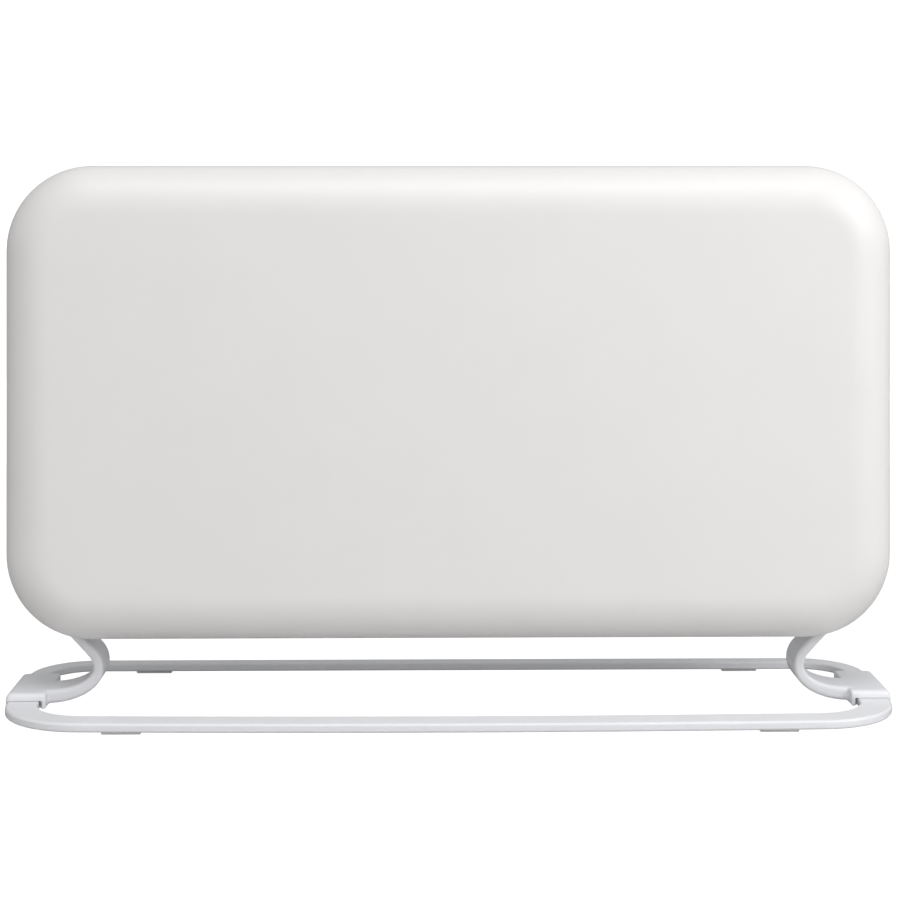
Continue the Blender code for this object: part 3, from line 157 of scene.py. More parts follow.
def rounded(corners, radius, count=5):
    """Open outline through the corners, each inner corner replaced by a quarter-like arc.

    The arc is a quadratic Bezier from radius before the corner to radius after it, or less where
    a side is short.
    """
    corners = [np.array(c, float) for c in corners]
    line = [corners[0]]
    t = lerp(0, 1, count)[:, None]
    for before, here, after in zip(corners, corners[1:], corners[2:]):
        to_before, to_after = before - here, after - here
        size_before, size_after = np.linalg.norm(to_before), np.linalg.norm(to_after)
        reach = min(radius, size_before / 2.2, size_after / 2.2)
        start = here + to_before / size_before * reach
        end = here + to_after / size_after * reach
        line += list((1 - t) ** 2 * start + 2 * t * (1 - t) * here + t**2 * end)
    line.append(corners[-1])
    return np.array(line)

# %% [markdown]
# Booleans, walls and small rounded edges are modifiers, applied at once, so that each finished
# piece is a plain mesh at the origin. A helper object is removed as soon as its cut is made.

# %% Modifiers that are applied at once
def held(name, mesh):
    """Object for a mesh that is still being worked on."""
    thing = bpy.data.objects.new(name, mesh)
    bpy.context.scene.collection.objects.link(thing)
    return thing


def lifted(thing):
    """Takes the mesh off a helper object, which is removed."""
    mesh = thing.data
    bpy.data.objects.remove(thing, do_unlink=True)
    return mesh


def applied(thing):
    """Replaces the object's mesh by what its modifiers make of it."""
    bpy.context.view_layer.update()
    seen = thing.evaluated_get(bpy.context.evaluated_depsgraph_get())
    mesh = bpy.data.meshes.new_from_object(seen)
    thing.modifiers.clear()
    thing.data = mesh
    return thing


def walled(thing, wall):
    """Wall of even thickness, grown inwards from the outer surface."""
    step = thing.modifiers.new("wall", "SOLIDIFY")
    step.thickness = wall
    step.offset = -1
    step.use_even_offset = True
    return applied(thing)


def combined(thing, others, operation):
    """Boolean with each helper in turn; the helpers are removed."""
    for other in others:
        step = thing.modifiers.new("combine", "BOOLEAN")
        step.operation = operation
        step.object = other
        step.solver = "MANIFOLD"
        applied(thing)
        bpy.data.objects.remove(other, do_unlink=True)
    return thing


def softened(thing, width, segments=2, angle=40):
    """Small round on every edge sharper than the angle."""
    step = thing.modifiers.new("soft", "BEVEL")
    step.width = width
    step.segments = segments
    step.limit_method = "ANGLE"
    step.angle_limit = math.radians(angle)
    step.use_clamp_overlap = True
    return applied(thing)


def smoothed(mesh, angle):
    """Smooth shading, with edges sharper than the angle kept crisp."""
    mesh.shade_smooth()
    mesh.set_sharp_from_angle(angle=math.radians(angle))

# %% [markdown]
# Cutters are mostly blocks. A block is placed by its two far corners, because that is how a frame's
# box is read, and it may have rounded edges. Most things stand in pairs, left and right, so a span
# along X is written once, for the right side.

# %% Blocks
def box_between(name, low, high, radius=0.0, segments=4):
    """Helper block between two corners, with rounded edges where a radius is given."""
    work = bmesh.new()
    bmesh.ops.create_cube(work, size=1)
    low, high = Vector(low), Vector(high)
    bmesh.ops.scale(work, vec=high - low, verts=work.verts)
    bmesh.ops.translate(work, vec=(low + high) / 2, verts=work.verts)
    if radius:
        edges = work.edges[:]
        rounds = {"offset": radius, "segments": segments, "profile": 0.5, "affect": "EDGES"}
        bmesh.ops.bevel(work, geom=edges, **rounds)
    mesh = bpy.data.meshes.new(name)
    work.to_mesh(mesh)
    work.free()
    return held(name, mesh)


def side_span(side, a, b):
    """Lower and upper X of a right-hand span, on the side given as -1 or 1."""
    return sorted((side * a, side * b))

# %% [markdown]
# ## Finishes
# Every finish is a Principled shader whose colour, roughness and bump come from noise in Object
# coordinates. All pieces sit at the origin, so one grain size in millimetres holds everywhere.

# %% Node helpers
noise_low, noise_high = 0.3, 0.7
coat_roughness = 0.25


def finish_nodes(name):
    """New material with its node tree, its shader and Object coordinates."""
    made = bpy.data.materials.new(name)
    made.use_nodes = True
    tree = made.node_tree
    shader = tree.nodes["Principled BSDF"]
    where = tree.nodes.new("ShaderNodeTexCoord").outputs["Object"]
    return made, tree, shader, where


def grain(tree, where, size, detail, stretch):
    """Noise whose features are about size across, drawn out along an axis by a small stretch."""
    scale = tree.nodes.new("ShaderNodeMapping")
    scale.inputs["Scale"].default_value = stretch
    noise = tree.nodes.new("ShaderNodeTexNoise")
    noise.inputs["Scale"].default_value = 1 / size
    noise.inputs["Detail"].default_value = detail
    tree.links.new(where, scale.inputs["Vector"])
    tree.links.new(scale.outputs["Vector"], noise.inputs["Vector"])
    return noise.outputs["Fac"]


def spread(tree, value, low, high):
    """Maps a noise value's usual range to the range from low to high."""
    node = tree.nodes.new("ShaderNodeMapRange")
    node.inputs["From Min"].default_value = noise_low
    node.inputs["From Max"].default_value = noise_high
    node.inputs["To Min"].default_value = low
    node.inputs["To Max"].default_value = high
    tree.links.new(value, node.inputs["Value"])
    return node.outputs["Result"]


def tinted(tree, value, dark, light):
    """Colour between two tints by a value. A Mix node's colours are its inputs 6 and 7."""
    node = tree.nodes.new("ShaderNodeMix")
    node.data_type = "RGBA"
    node.inputs[6].default_value = (*dark, 1)
    node.inputs[7].default_value = (*light, 1)
    tree.links.new(value, node.inputs["Factor"])
    return node.outputs[2]


def dented(tree, shader, value, height):
    """Bump of a given height from a value."""
    node = tree.nodes.new("ShaderNodeBump")
    node.inputs["Distance"].default_value = height
    node.inputs["Strength"].default_value = 1.0
    tree.links.new(value, node.inputs["Height"])
    tree.links.new(node.outputs["Normal"], shader.inputs["Normal"])

# %% [markdown]
# All of the heater's finishes have one make-up. Wide, soft spots shift the colour a little. A fine
# grain, such as the peel of a coating or the texture of a mould, raises the surface by up to a few
# hundredths of a millimetre, and makes it rougher in some places than in others.

# %% One recipe for a finish
finishes = {}


def coated(name, tints, roughness, spots, peel, metallic=0.0, coat=0.0, stretch=(1, 1, 1)):
    """Adds a finish: two tints, two roughnesses, the spots' size, the peel's size and height."""
    made, tree, shader, where = finish_nodes(name)
    wide = grain(tree, where, spots * mm, 3.0, stretch)
    fine = grain(tree, where, peel[0] * mm, 2.0, stretch)
    colour = tinted(tree, spread(tree, wide, 0, 1), *tints)
    tree.links.new(colour, shader.inputs["Base Color"])
    tree.links.new(spread(tree, fine, *roughness), shader.inputs["Roughness"])
    dented(tree, shader, fine, peel[1] * mm)
    shader.inputs["Metallic"].default_value = metallic
    shader.inputs["Coat Weight"].default_value = coat
    shader.inputs["Coat Roughness"].default_value = coat_roughness
    finishes[name] = made


def even(value, share):
    """Two tints a small share apart, for a barely uneven colour."""
    return tuple(v * (1 - share) for v in value), tuple(min(v * (1 + share), 1) for v in value)

# %% [markdown]
# ### The whites
# The front is steel sheet under satin powder coat, a warm white with a faint orange peel. Feet and
# tubes are enamelled, a colder and glossier white. The back and the grilles are moulded, so they
# are duller and have a mould's fine grain. The shades are close, but set side by side, as on the
# real heater, they tell the materials apart.

# %% White finishes
warm_white, cool_white, plain_white = (0.80, 0.785, 0.775), (0.80, 0.805, 0.83), (0.78, 0.78, 0.77)
coated("powder_coat", even(warm_white, 0.006), (0.36, 0.44), 60, (0.9, 0.004))
coated("cast_white", even(cool_white, 0.01), (0.28, 0.40), 25, (1.2, 0.006))
coated("moulded_white", even(plain_white, 0.008), (0.46, 0.60), 30, (0.35, 0.012))
print("white finishes:", len(finishes))

# %% [markdown]
# ### The metals
# The chassis is zinc-plated sheet and the baffles are aluminium, both rolled. The rolling draws
# their grain out along X, so the noise is stretched that way. Screws are bright plated steel.

# %% Metal finishes
zinc = (0.46, 0.47, 0.49), (0.66, 0.67, 0.69)
rolled_aluminium = (0.70, 0.71, 0.72), (0.82, 0.83, 0.84)
plated_steel = (0.44, 0.45, 0.47), (0.62, 0.62, 0.62)
coated("zinc_sheet", zinc, (0.26, 0.44), 7, (0.5, 0.006), 1.0, stretch=(0.15, 1, 1))
coated("aluminium", rolled_aluminium, (0.22, 0.38), 12, (0.3, 0.004), 1.0, stretch=(0.05, 1, 1))
coated("steel_screw", plated_steel, (0.22, 0.34), 2, (0.2, 0.003), 1.0)
print("with metals:", len(finishes))

# %% [markdown]
# ### The rest
# Bushes are unglazed ceramic, chalky and rough. The rocker and gland are black moulding, the keys
# grey moulding, and the window is polished smoked plastic under a clear coat. Pads are matt white
# rubber. Inside there are a red silicone lead and green boards. The signs are printed in white.

# %% Other finishes
ceramic = (0.74, 0.71, 0.64), (0.84, 0.82, 0.76)
black = (0.014, 0.014, 0.015), (0.024, 0.024, 0.026)
grey = (0.27, 0.28, 0.29), (0.31, 0.32, 0.33)
smoke = (0.010, 0.010, 0.013), (0.016, 0.016, 0.020)
pad_white = (0.84, 0.84, 0.83), (0.88, 0.88, 0.87)
lead_red = (0.42, 0.035, 0.02), (0.52, 0.05, 0.03)
board_green = (0.008, 0.085, 0.035), (0.014, 0.15, 0.06)
print_white = (0.70, 0.70, 0.70), (0.76, 0.76, 0.76)
coated("ceramic", ceramic, (0.55, 0.75), 3, (0.25, 0.02))
coated("black_plastic", black, (0.38, 0.52), 10, (0.3, 0.015))
coated("grey_plastic", grey, (0.36, 0.48), 8, (0.3, 0.01))
coated("smoked_window", smoke, (0.04, 0.09), 20, (4, 0.002), coat=0.5)
coated("rubber", pad_white, (0.7, 0.9), 5, (0.4, 0.03))
coated("lead", lead_red, (0.5, 0.62), 6, (0.4, 0.01))
coated("board", board_green, (0.3, 0.5), 4, (0.6, 0.01))
coated("mark_white", print_white, (0.5, 0.6), 3, (0.2, 0.004))
print("finishes:", ", ".join(finishes))

# %% [markdown]
# A finished piece is set down in one call: the body it rides on, the solids it stands for, and its
# finish, which is the record's slot unless another is given. It prints its face count, which shows
# at once if something went wrong.

# %% Setting a piece down
def set_down(name, mesh, slot, body="heater", instead=(), coat=None, angle=40):
    """Puts a finished mesh in the scene under its own name."""
    smoothed(mesh, angle)
    mesh.materials.clear()
    mesh.materials.append(finishes[coat or slot])
    thing = held(name, mesh)
    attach(thing, body)
    if instead:
        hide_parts(*instead)
    print(f"{name}: {len(mesh.polygons)} faces")

# %% [markdown]
# ## The case
# Both shells are rounded boxes open at the seam. Round the outline a point is a place on an inner
# rectangle plus an outward direction times a radius, so an inset only shortens that radius. The
# profile then runs from the seam along the side, over the edge and across the face to its middle.

# %% Shell surface
corner_count, long_count, short_count = 22, 30, 14


def outline_parts():
    """Places on the inner rectangle and outward directions, once round, as two arrays of (x, z)."""
    core_x, core_z = half_width - corner_radius, half_height - corner_radius
    places, ways = [], []
    corners = [(1, 1), (-1, 1), (-1, -1), (1, -1)]
    for i, (sx, sz) in enumerate(corners):
        angle = lerp(i * math.pi / 2, (i + 1) * math.pi / 2, corner_count)
        places.append(np.tile([sx * core_x, sz * core_z], (corner_count, 1)))
        ways.append(np.stack([np.cos(angle), np.sin(angle)], -1))
        nx, nz = corners[(i + 1) % 4]
        count = long_count if i % 2 == 0 else short_count
        share = lerp(0, 1, count + 2)[1:-1, None]
        here, there = np.array([sx * core_x, sz * core_z]), np.array([nx * core_x, nz * core_z])
        places.append(here + (there - here) * share)
        ways.append(np.tile(ways[-1][-1], (count, 1)))
    return np.vstack(places), np.vstack(ways)


def pan(profile, face_rings, crown=0.0):
    """Rows of outline points: along the profile's (inset, y) pairs, then shrinking to the middle.

    The face drops away from its middle by crown * (1 - (1 - u^2)(1 - v^2)), with u and v the shares
    of the half width and half height, and by less towards the seam.
    """
    places, ways = outline_parts()
    flat = places + ways * (corner_radius - profile[:, None, :1])
    depth = np.broadcast_to(profile[:, None, 1:], flat.shape[:2] + (1,))
    side = np.concatenate([flat, depth], -1)
    shrink = 1 - lerp(0, 1, face_rings + 1)[1:, None, None]
    face = side[-1] * np.concatenate([shrink, shrink, np.ones_like(shrink)], -1)
    x, z, y = np.moveaxis(np.vstack([side, face]), -1, 0)
    u, v = x / half_width, z / half_height
    travel = profile[-1, 1] - profile[0, 1]
    far = (y - profile[0, 1]) / travel
    drop = crown * (1 - (1 - u**2) * (1 - v**2)) * far * math.copysign(1, travel)
    return np.stack([x, y - drop, z + middle_z], -1)


def shell_profile(seam, face, reach, rise, hem, count):
    """(inset, y) pairs: a small hem at the seam, the side, then an elliptic edge."""
    toward = math.copysign(1, face - seam)
    edge = arc((reach, face - toward * rise), (-reach, toward * rise), 0, math.pi / 2, count)
    start = [(hem, seam), (hem * 0.3, seam + toward * hem * 0.3), (0, seam + toward * hem)]
    return np.vstack([start, edge])

# %% [markdown]
# The ribbon feet come up through notches in the underside. Both shells are cut with the same
# rounded block.

# %% Foot notches
bracket_low, bracket_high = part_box("foot_bracket_right")
notch_x, notch_y = (287.7 * mm, 316.4 * mm), (-26 * mm, 11.8 * mm)
notch_start = case_bottom - 10 * mm


def foot_notches():
    """One helper block for each foot, as wide as the ribbon's slant makes it in the underside."""
    made = []
    for side in (-1, 1):
        xs = side_span(side, *notch_x)
        low, high = (xs[0], notch_y[0], notch_start), (xs[1], notch_y[1], bracket_high.z)
        made.append(box_between("notch", low, high, 2 * mm))
    return made

# %% [markdown]
# The front shell is deep-drawn sheet. Its edge reaches further across the face than it is deep,
# and the face is very slightly crowned, which gives the soft shading towards the rim.

# %% Front shell
sheet_wall, face_crown = 1.2 * mm, 2.2 * mm
front_profile = shell_profile(seam_y, face_y, reach=38 * mm, rise=32 * mm, hem=0.8 * mm, count=26)
front_mesh = surface("front_shell_skin", pan(front_profile, 16, face_crown), wrap_columns=True)
front = walled(held("front_work", front_mesh), sheet_wall)
combined(front, foot_notches(), "DIFFERENCE")
set_down("front_case", lifted(front), "powder_coat", instead=["front_shell"])

# %% [markdown]
# The rear shell is the same box the other way round, in thicker moulding. It is opened for the two
# grilles, the sloping control panel, the rocker and the cord gland, and a fine groove runs round
# its back as a styling line. Most openings are blocks a clearance larger than the moulding in
# them. The rocker's bezel and the gland have rims, which lap over the edges of theirs.

# %% Openings in the rear shell
outlet_low, outlet_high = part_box("outlet_grille")
intake_low, intake_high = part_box("intake_grille")
fascia_low, fascia_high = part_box("control_fascia")
rocker_low, rocker_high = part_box("rocker_frame")
gland_low, gland_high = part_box("cord_gland")
gland_x, gland_z = (gland_low.x + gland_high.x) / 2, (gland_low.z + gland_high.z) / 2
bezel_lap, gland_hole = 2.3 * mm, 7.3 * mm


def opening(low, high, up):
    """Block round a moulding at the upper or lower edge, run out past the shell."""
    gap = clearance
    top = high.z + past if up else high.z + gap
    bottom = low.z - gap if up else low.z - past
    far = (high.x + gap, high.y + past, top)
    return box_between("opening", (low.x - gap, low.y - gap, bottom), far)


def rear_openings():
    """Blocks for the grilles, the panel and the bezel, and a turned plug for the gland."""
    made = [opening(outlet_low, outlet_high, True), opening(fascia_low, fascia_high, True)]
    made.append(opening(intake_low, intake_high, False))
    low = (rocker_low.x + bezel_lap, back_y - past, rocker_low.z + bezel_lap)
    high = (rocker_high.x - bezel_lap, back_y + past, rocker_high.z - bezel_lap)
    made.append(box_between("bezel_opening", low, high))
    profile = [(0, past), (gland_hole, past), (gland_hole, -past), (0, -past)]
    plug = turned("gland_opening", profile, (gland_x, back_y, gland_z), (0, 1, 0))
    return made + [held("gland_opening", plug)]

# %% [markdown]
# The groove is five more pairs of the profile, each an inset and a depth below the back.

# %% Rear shell
moulded_wall, rear_edge = 2 * mm, 26 * mm
rear_start = seam_y + clearance
box_profile = shell_profile(rear_start, back_y, rear_edge, rear_edge, hem=0.8 * mm, count=22)
groove = np.array([(62, 0), (62.8, 0.5), (63.4, 0.6), (64, 0.5), (64.8, 0)]) * mm
rear_profile = np.vstack([box_profile, np.column_stack([groove[:, 0], back_y - groove[:, 1]])])
rear_mesh = surface("rear_shell_skin", pan(rear_profile, 10), wrap_columns=True)
rear = walled(held("rear_work", rear_mesh), moulded_wall)
combined(rear, rear_openings() + foot_notches(), "DIFFERENCE")
set_down("rear_case", lifted(rear), "moulded_white", instead=["rear_shell"])

# %% [markdown]
# ## Grilles
# Air comes in below and leaves above, through mouldings that follow the rear edge. The moulding is
# a sheet over its length and its cross-section's path. Quads inside a slot are left out, and a
# wall and small rounds finish the ribs.

# %% Grille sheets
slots_along, slot_quads, rib, margin = 5, 8, 6 * mm, 8 * mm
first_row, end_row, row_pitch, open_rows = 6, 58, 8, 5


def grille_path(direction, low, high):
    """(y, z) along the moulding, from the flat of the case over the edge and along the back."""
    outer = middle_z + direction * half_height
    inner = low.z if direction > 0 else high.z
    centre = (back_y - rear_edge, outer - direction * rear_edge)
    run = arc(centre, (rear_edge, direction * rear_edge), math.pi / 2, 0, 61)
    start = np.array([[low.y, outer], [(low.y + centre[0]) / 2, outer]])
    end = np.array([[back_y, (centre[1] + inner) / 2], [back_y, inner]])
    return np.vstack([start, run, end])


def slot_columns(low, high):
    """X places of the sheet's columns and whether each column of quads lies in a slot."""
    pitch = (high.x - low.x - 2 * margin + rib) / slots_along
    starts = low.x + margin + np.arange(slots_along) * pitch
    places = lerp(starts, starts + pitch - rib, slot_quads + 1).T
    inside = np.tile([False] + [True] * slot_quads, slots_along)
    return np.hstack([low.x, places.reshape(-1), high.x]), np.append(inside, False)


def grille_sheet(name, direction, low, high):
    """Slotted sheet: rows follow the path, columns the length; slot rows are the quads dropped."""
    path = grille_path(direction, low, high)
    columns, in_slot = slot_columns(low, high)
    points = np.zeros((len(path), len(columns), 3))
    points[..., 0] = columns[None, :]
    points[..., 1] = path[:, :1]
    points[..., 2] = path[:, 1:]
    row = np.arange(len(path) - 1)
    slot_row = ((row - first_row) % row_pitch < open_rows) & (row >= first_row) & (row < end_row)
    keep = ~(slot_row[:, None] & in_slot[None, :])
    sheet = walled(held(name + "_work", surface(name, points, keep=keep)), moulded_wall)
    return lifted(softened(sheet, 0.35 * mm))


grilles = (("outlet_louvres", 1, "outlet_grille"), ("intake_louvres", -1, "intake_grille"))
for name, direction, node in grilles:
    mesh = grille_sheet(name, direction, *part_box(node))
    set_down(name, mesh, "moulded_white", instead=[node])

# %% [markdown]
# ## Floor tubes
# Each tube is a flat rounded bar carried along a U. The front tube's long run bows out a little,
# on a radius of 8 m. The rear tube's run is straight, so its bow is given a radius too large to
# show. The wall is real: the same path is followed out along the outer section and back along a
# smaller one, and the grid closes on itself at both ends.

# %% Tube section and path
front_tube_width, rear_tube_width = 25 * mm, 16 * mm
tube_round, tube_inner_round, tube_wall = 2 * mm, 0.6 * mm, 1.5 * mm
section_flat = 0.4 * mm
front_bow, no_bow = 8000 * mm, 1e9 * mm


def flat_section(width, height, radius, count=8):
    """Rounded rectangle, (across, up) from its middle: four quarter circles.

    Each has a point of the straight before it and one of the straight after it, which keep the
    flats flat in shading.
    """
    x, z = width / 2 - radius, height / 2 - radius
    outline = []
    for i, centre in enumerate([(x, -z), (x, z), (-x, z), (-x, -z)]):
        first, last = (i - 1) * math.pi / 2, i * math.pi / 2
        turn = arc(centre, (radius, radius), first, last, count)
        before = turn[0] - np.array([-math.sin(first), math.cos(first)]) * section_flat
        after = turn[-1] + np.array([-math.sin(last), math.cos(last)]) * section_flat
        outline.append(np.vstack([before, turn, after]))
    return np.vstack(outline)


def tube_path(side_x, bar_y, radius, joint_y, bow, bend=26, across=24):
    """Plan line of a U tube: along one side, round a corner, across, and back.

    The bar is an arc of radius bow, which the corner's arc meets where both have the same slope: at
    the angle whose sine is the corner's x over the difference of the two radii.
    """
    away = math.copysign(1, bar_y)
    between, middle_y = bow - radius, bar_y - away * bow
    meet = math.asin((side_x - radius) / between)
    corner = (radius - side_x, middle_y + away * between * math.cos(meet))
    turn = arc(corner, (radius, away * radius), math.pi, math.pi / 2 + meet, bend)
    half = np.vstack([[[-side_x, joint_y]], turn])
    ends = (math.pi / 2 + meet, math.pi / 2 - meet)
    bar = arc((0, middle_y), (bow, away * bow), *ends, across)
    return np.vstack([half, bar[1:-1], half[::-1] * [-1, 1]])

# %% [markdown]
# At each point of the path the section stands square to it. The direction there is the mean of the
# runs before and after, which keeps the tube's width even round the corners.

# %% Tubes
def swept_flat(path, middle, section):
    """The section at each point of a level path, square to the mean of the runs on both sides."""
    run = np.gradient(path, axis=0)
    run[1:-1] = path[2:] - path[:-2]
    run /= np.linalg.norm(run, axis=1, keepdims=True)
    across = np.column_stack([run[:, 1], -run[:, 0]])
    flat = path[:, None, :] + across[:, None, :] * section[None, :, :1]
    tall = np.broadcast_to(middle + section[None, :, 1], flat.shape[:2])[..., None]
    return np.concatenate([flat, tall], -1)


def floor_tube(name, node, radius, width, front, bow):
    """Hollow tube in the place of a solid, its long run in front of or behind the feet."""
    low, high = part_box(node)
    height, middle = high.z - low.z, (low.z + high.z) / 2
    bar_y = low.y + width / 2 if front else high.y - width / 2
    joint_y = high.y if front else low.y
    path = tube_path(high.x - width / 2, bar_y, radius, joint_y, bow)
    outer = swept_flat(path, middle, flat_section(width, height, tube_round))
    bore = flat_section(width - 2 * tube_wall, height - 2 * tube_wall, tube_inner_round)
    points = np.vstack([outer, swept_flat(path, middle, bore)[::-1]])
    mesh = surface(name, points, wrap_rows=True, wrap_columns=True)
    set_down(name, mesh, "cast_white", instead=[node], angle=50)


floor_tube("front_tube", "front_floor_tube", 54 * mm, front_tube_width, True, front_bow)
floor_tube("rear_tube", "rear_floor_tube", 43 * mm, rear_tube_width, False, no_bow)

# %% [markdown]
# ## Ribbon feet
# A foot is a cast ribbon: flat over the floor, curved up behind the case's lower edge, and joined
# at its outer end to a saddle that takes the ends of both tubes. The ribbon's centre line is a
# level run, a quarter of an ellipse, a small arc back outwards and a straight up to the flange.

# %% Foot line
tube_side_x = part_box("front_floor_tube")[1].x
plate_start = (tube_side_x - 20 * mm, 9.6 * mm)
plate_z, plate_thick, ribbon_thick = 10.4 * mm, 11 * mm, 8 * mm
curve_x, curve_reach, curve_rise = tube_side_x - 30.7 * mm, 39 * mm, 21.8 * mm
waist_x, waist_z = curve_x - curve_reach, plate_z + curve_rise
bend_radius, bend_turn = 18 * mm, math.radians(43)
flange_thick = 5 * mm
flat_count, curve_count, bend_count = 9, 40, 14


def foot_line():
    """Centre line of the right foot as (x, z, thickness), from inside the saddle to the flange."""
    level = lerp(plate_start, (curve_x, plate_z), flat_count)
    curve_centre = (curve_x, plate_z + curve_rise)
    quarter = arc(curve_centre, (curve_reach, curve_rise), math.pi * 3 / 2, math.pi, curve_count)
    bend_centre = (waist_x + bend_radius, waist_z)
    upper = arc(bend_centre, (bend_radius, bend_radius), math.pi, math.pi - bend_turn, bend_count)
    x, z = upper[-1]
    rise = bracket_high.z - flange_thick / 2 - z
    end = [[x + rise * math.tan(bend_turn), z + rise]]
    line = np.vstack([level[:-1], quarter, upper[1:], end])
    share = np.concatenate([np.zeros(flat_count - 1), lerp(0, 1, curve_count), np.ones(bend_count)])
    return np.column_stack([line, plate_thick + (ribbon_thick - plate_thick) * share])

# %% [markdown]
# The ribbon is a rounded bar that stands square to that line. It isn't equally wide everywhere: its
# front edge leans back with the height, and its rear edge comes forward above the waist and
# towards the saddle.

# %% Ribbon
foot_front_y, foot_rear_y = -26 * mm, 14 * mm
foot_middle_y = (foot_front_y + foot_rear_y) / 2
front_lean, rear_lean, rear_turn = 0.033, 0.046, 0.154
ribbon_round = 3 * mm


def rounded_bar(front, rear, thickness, radius, count=6):
    """Rounded rectangle round the ribbon, as (y, across) pairs."""
    half = thickness / 2
    corners = [(rear - radius, half - radius), (front + radius, half - radius)]
    corners += [(front + radius, radius - half), (rear - radius, radius - half)]
    rounds = []
    for i, centre in enumerate(corners):
        first, last = i * math.pi / 2, (i + 1) * math.pi / 2
        rounds.append(arc(centre, (radius, radius), first, last, count))
    return np.vstack(rounds)


def ribbon_sweep(side):
    """Ribbon surface: at each point of the line a rounded bar, square to the line.

    The front edge leans back by a share of the height. The rear edge comes forward by a share of
    the height over the waist and by a share of the way outward from it.
    """
    line = foot_line()
    run = np.gradient(line[:, :2], axis=0)
    run /= np.linalg.norm(run, axis=1, keepdims=True)
    bars = [rounded_bar(foot_front_y, foot_rear_y, thick, ribbon_round) for thick in line[:, 2]]
    y, across = np.moveaxis(np.array(bars), -1, 0)
    out = line[:, :1] - run[:, 1:] * across
    up = line[:, 1:2] + run[:, :1] * across
    front = y + front_lean * (up - plate_z)
    rear = y - rear_lean * (up - waist_z) - rear_turn * (out - waist_x)
    points = np.stack([side * out, np.where(y < foot_middle_y, front, rear), up], -1)
    return held("ribbon", surface("ribbon", points, wrap_columns=True, caps=True))

# %% [markdown]
# The saddle is a low bar along Y with a large round on its outer upper edge. Its ends are rounded
# too, by shrinking the section towards its inner lower corner over the last few millimetres.

# %% Saddle
saddle_inner_x, saddle_outer_x = tube_side_x - 30 * mm, bracket_high.x
saddle_front_y, saddle_rear_y = bracket_low.y, bracket_high.y
saddle_low, saddle_top = bracket_low.z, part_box("front_floor_tube")[1].z + 5.9 * mm
saddle_round, front_end_round, rear_end_round = 11 * mm, 4.6 * mm, 3 * mm


def saddle_block(side):
    """Saddle: near an end the section is squeezed to its inner lower corner.

    At r (1 - cos a) from the end it has lost r (1 - sin a) of its height and half that in width.
    """
    corners = [(saddle_outer_x, saddle_low), (saddle_outer_x, saddle_top)]
    corners += [(saddle_inner_x, saddle_top), (saddle_inner_x, saddle_low)]
    section = np.vstack([rounded(corners[:3], saddle_round, 11), corners[3:]])
    angle = lerp(0, math.pi / 2, 9)[:, None]
    size = np.array([saddle_outer_x - saddle_inner_x, saddle_top - saddle_low])
    corner = np.array([saddle_inner_x, saddle_low])
    ends = []
    both = (saddle_front_y, 1, front_end_round), (saddle_rear_y, -1, rear_end_round)
    for end, toward, radius in both:
        squeeze = 1 - radius * (1 - np.sin(angle)) * np.array([0.5, 1]) / size
        flat = corner + (section - corner) * squeeze[:, None, :]
        y = np.broadcast_to(end + toward * radius * (1 - np.cos(angle)), flat.shape[:2])
        ends.append(np.stack([side * flat[..., 0], y, flat[..., 1]], -1)[::toward])
    return held("saddle", surface("saddle", np.vstack(ends), wrap_columns=True, caps=True))

# %% [markdown]
# Inside the case a flange joins the ribbon to the bottom rail. A voxel remesh fuses the three
# forms, and a little smoothing leaves the fillets of a casting.

# %% Flange and fusing
flange_x, flange_y, flange_round = (262 * mm, 312 * mm), (-36 * mm, 0), 1.2 * mm
foot_voxel, foot_smoothing = 0.9 * mm, 4


def flange_block(side):
    """Rounded plate at the top of the ribbon."""
    xs = side_span(side, *flange_x)
    low = (xs[0], flange_y[0], bracket_high.z - flange_thick)
    return box_between("flange", low, (xs[1], flange_y[1], bracket_high.z), flange_round)


def fused(parts):
    """Closed shapes joined, remeshed to even quads and smoothed."""
    work = bmesh.new()
    for part in parts:
        work.from_mesh(lifted(part))
    mesh = bpy.data.meshes.new("fused")
    work.to_mesh(mesh)
    work.free()
    thing = held("fused", mesh)
    remesh = thing.modifiers.new("remesh", "REMESH")
    remesh.mode = "VOXEL"
    remesh.voxel_size = foot_voxel
    applied(thing)
    smooth = thing.modifiers.new("smooth", "SMOOTH")
    smooth.factor = 0.5
    smooth.iterations = foot_smoothing
    return applied(thing)

# %% [markdown]
# The tubes' channels are cut last, so that their edges stay crisp. A relief beside the front tube
# leaves the small step that shows where the tube enters the saddle.

# %% Channels and feet
channels = (
    ("front_floor_tube", front_tube_width, saddle_front_y - past, -8 * mm),
    ("rear_floor_tube", rear_tube_width, -11 * mm, saddle_rear_y + past),
)
relief_x = (tube_side_x - front_tube_width + 1 * mm, tube_side_x - front_tube_width - 2.3 * mm)
relief_depth, relief_top, relief_round = 4 * mm, 9.6 * mm, 0.8 * mm


def tube_channels(side):
    """Cutters for both tubes' seats: the tube's own top grown by the clearance, open below."""
    made = []
    for node, width, first, last in channels:
        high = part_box(node)[1]
        radius = tube_round + clearance
        x, z, half = high.x - width / 2, high.z + clearance - radius, width / 2 + clearance
        right = arc((x + half - radius, z), (radius, radius), 0, math.pi / 2, 12)
        left = arc((x - half + radius, z), (radius, radius), math.pi / 2, math.pi, 12)
        outline = np.vstack([[[x + half, -past]], right, left, [[x - half, -past]]])
        y = np.array([first, last])[:, None]
        points = np.stack(np.broadcast_arrays(side * outline[:, 0], y, outline[:, 1]), -1)
        made.append(held("channel", surface("channel", points, wrap_columns=True, caps=True)))
    xs = side_span(side, *relief_x)
    far = (xs[1], saddle_front_y + relief_depth, relief_top)
    made.append(box_between("relief", (xs[0], saddle_front_y - past, -past), far, relief_round))
    return made


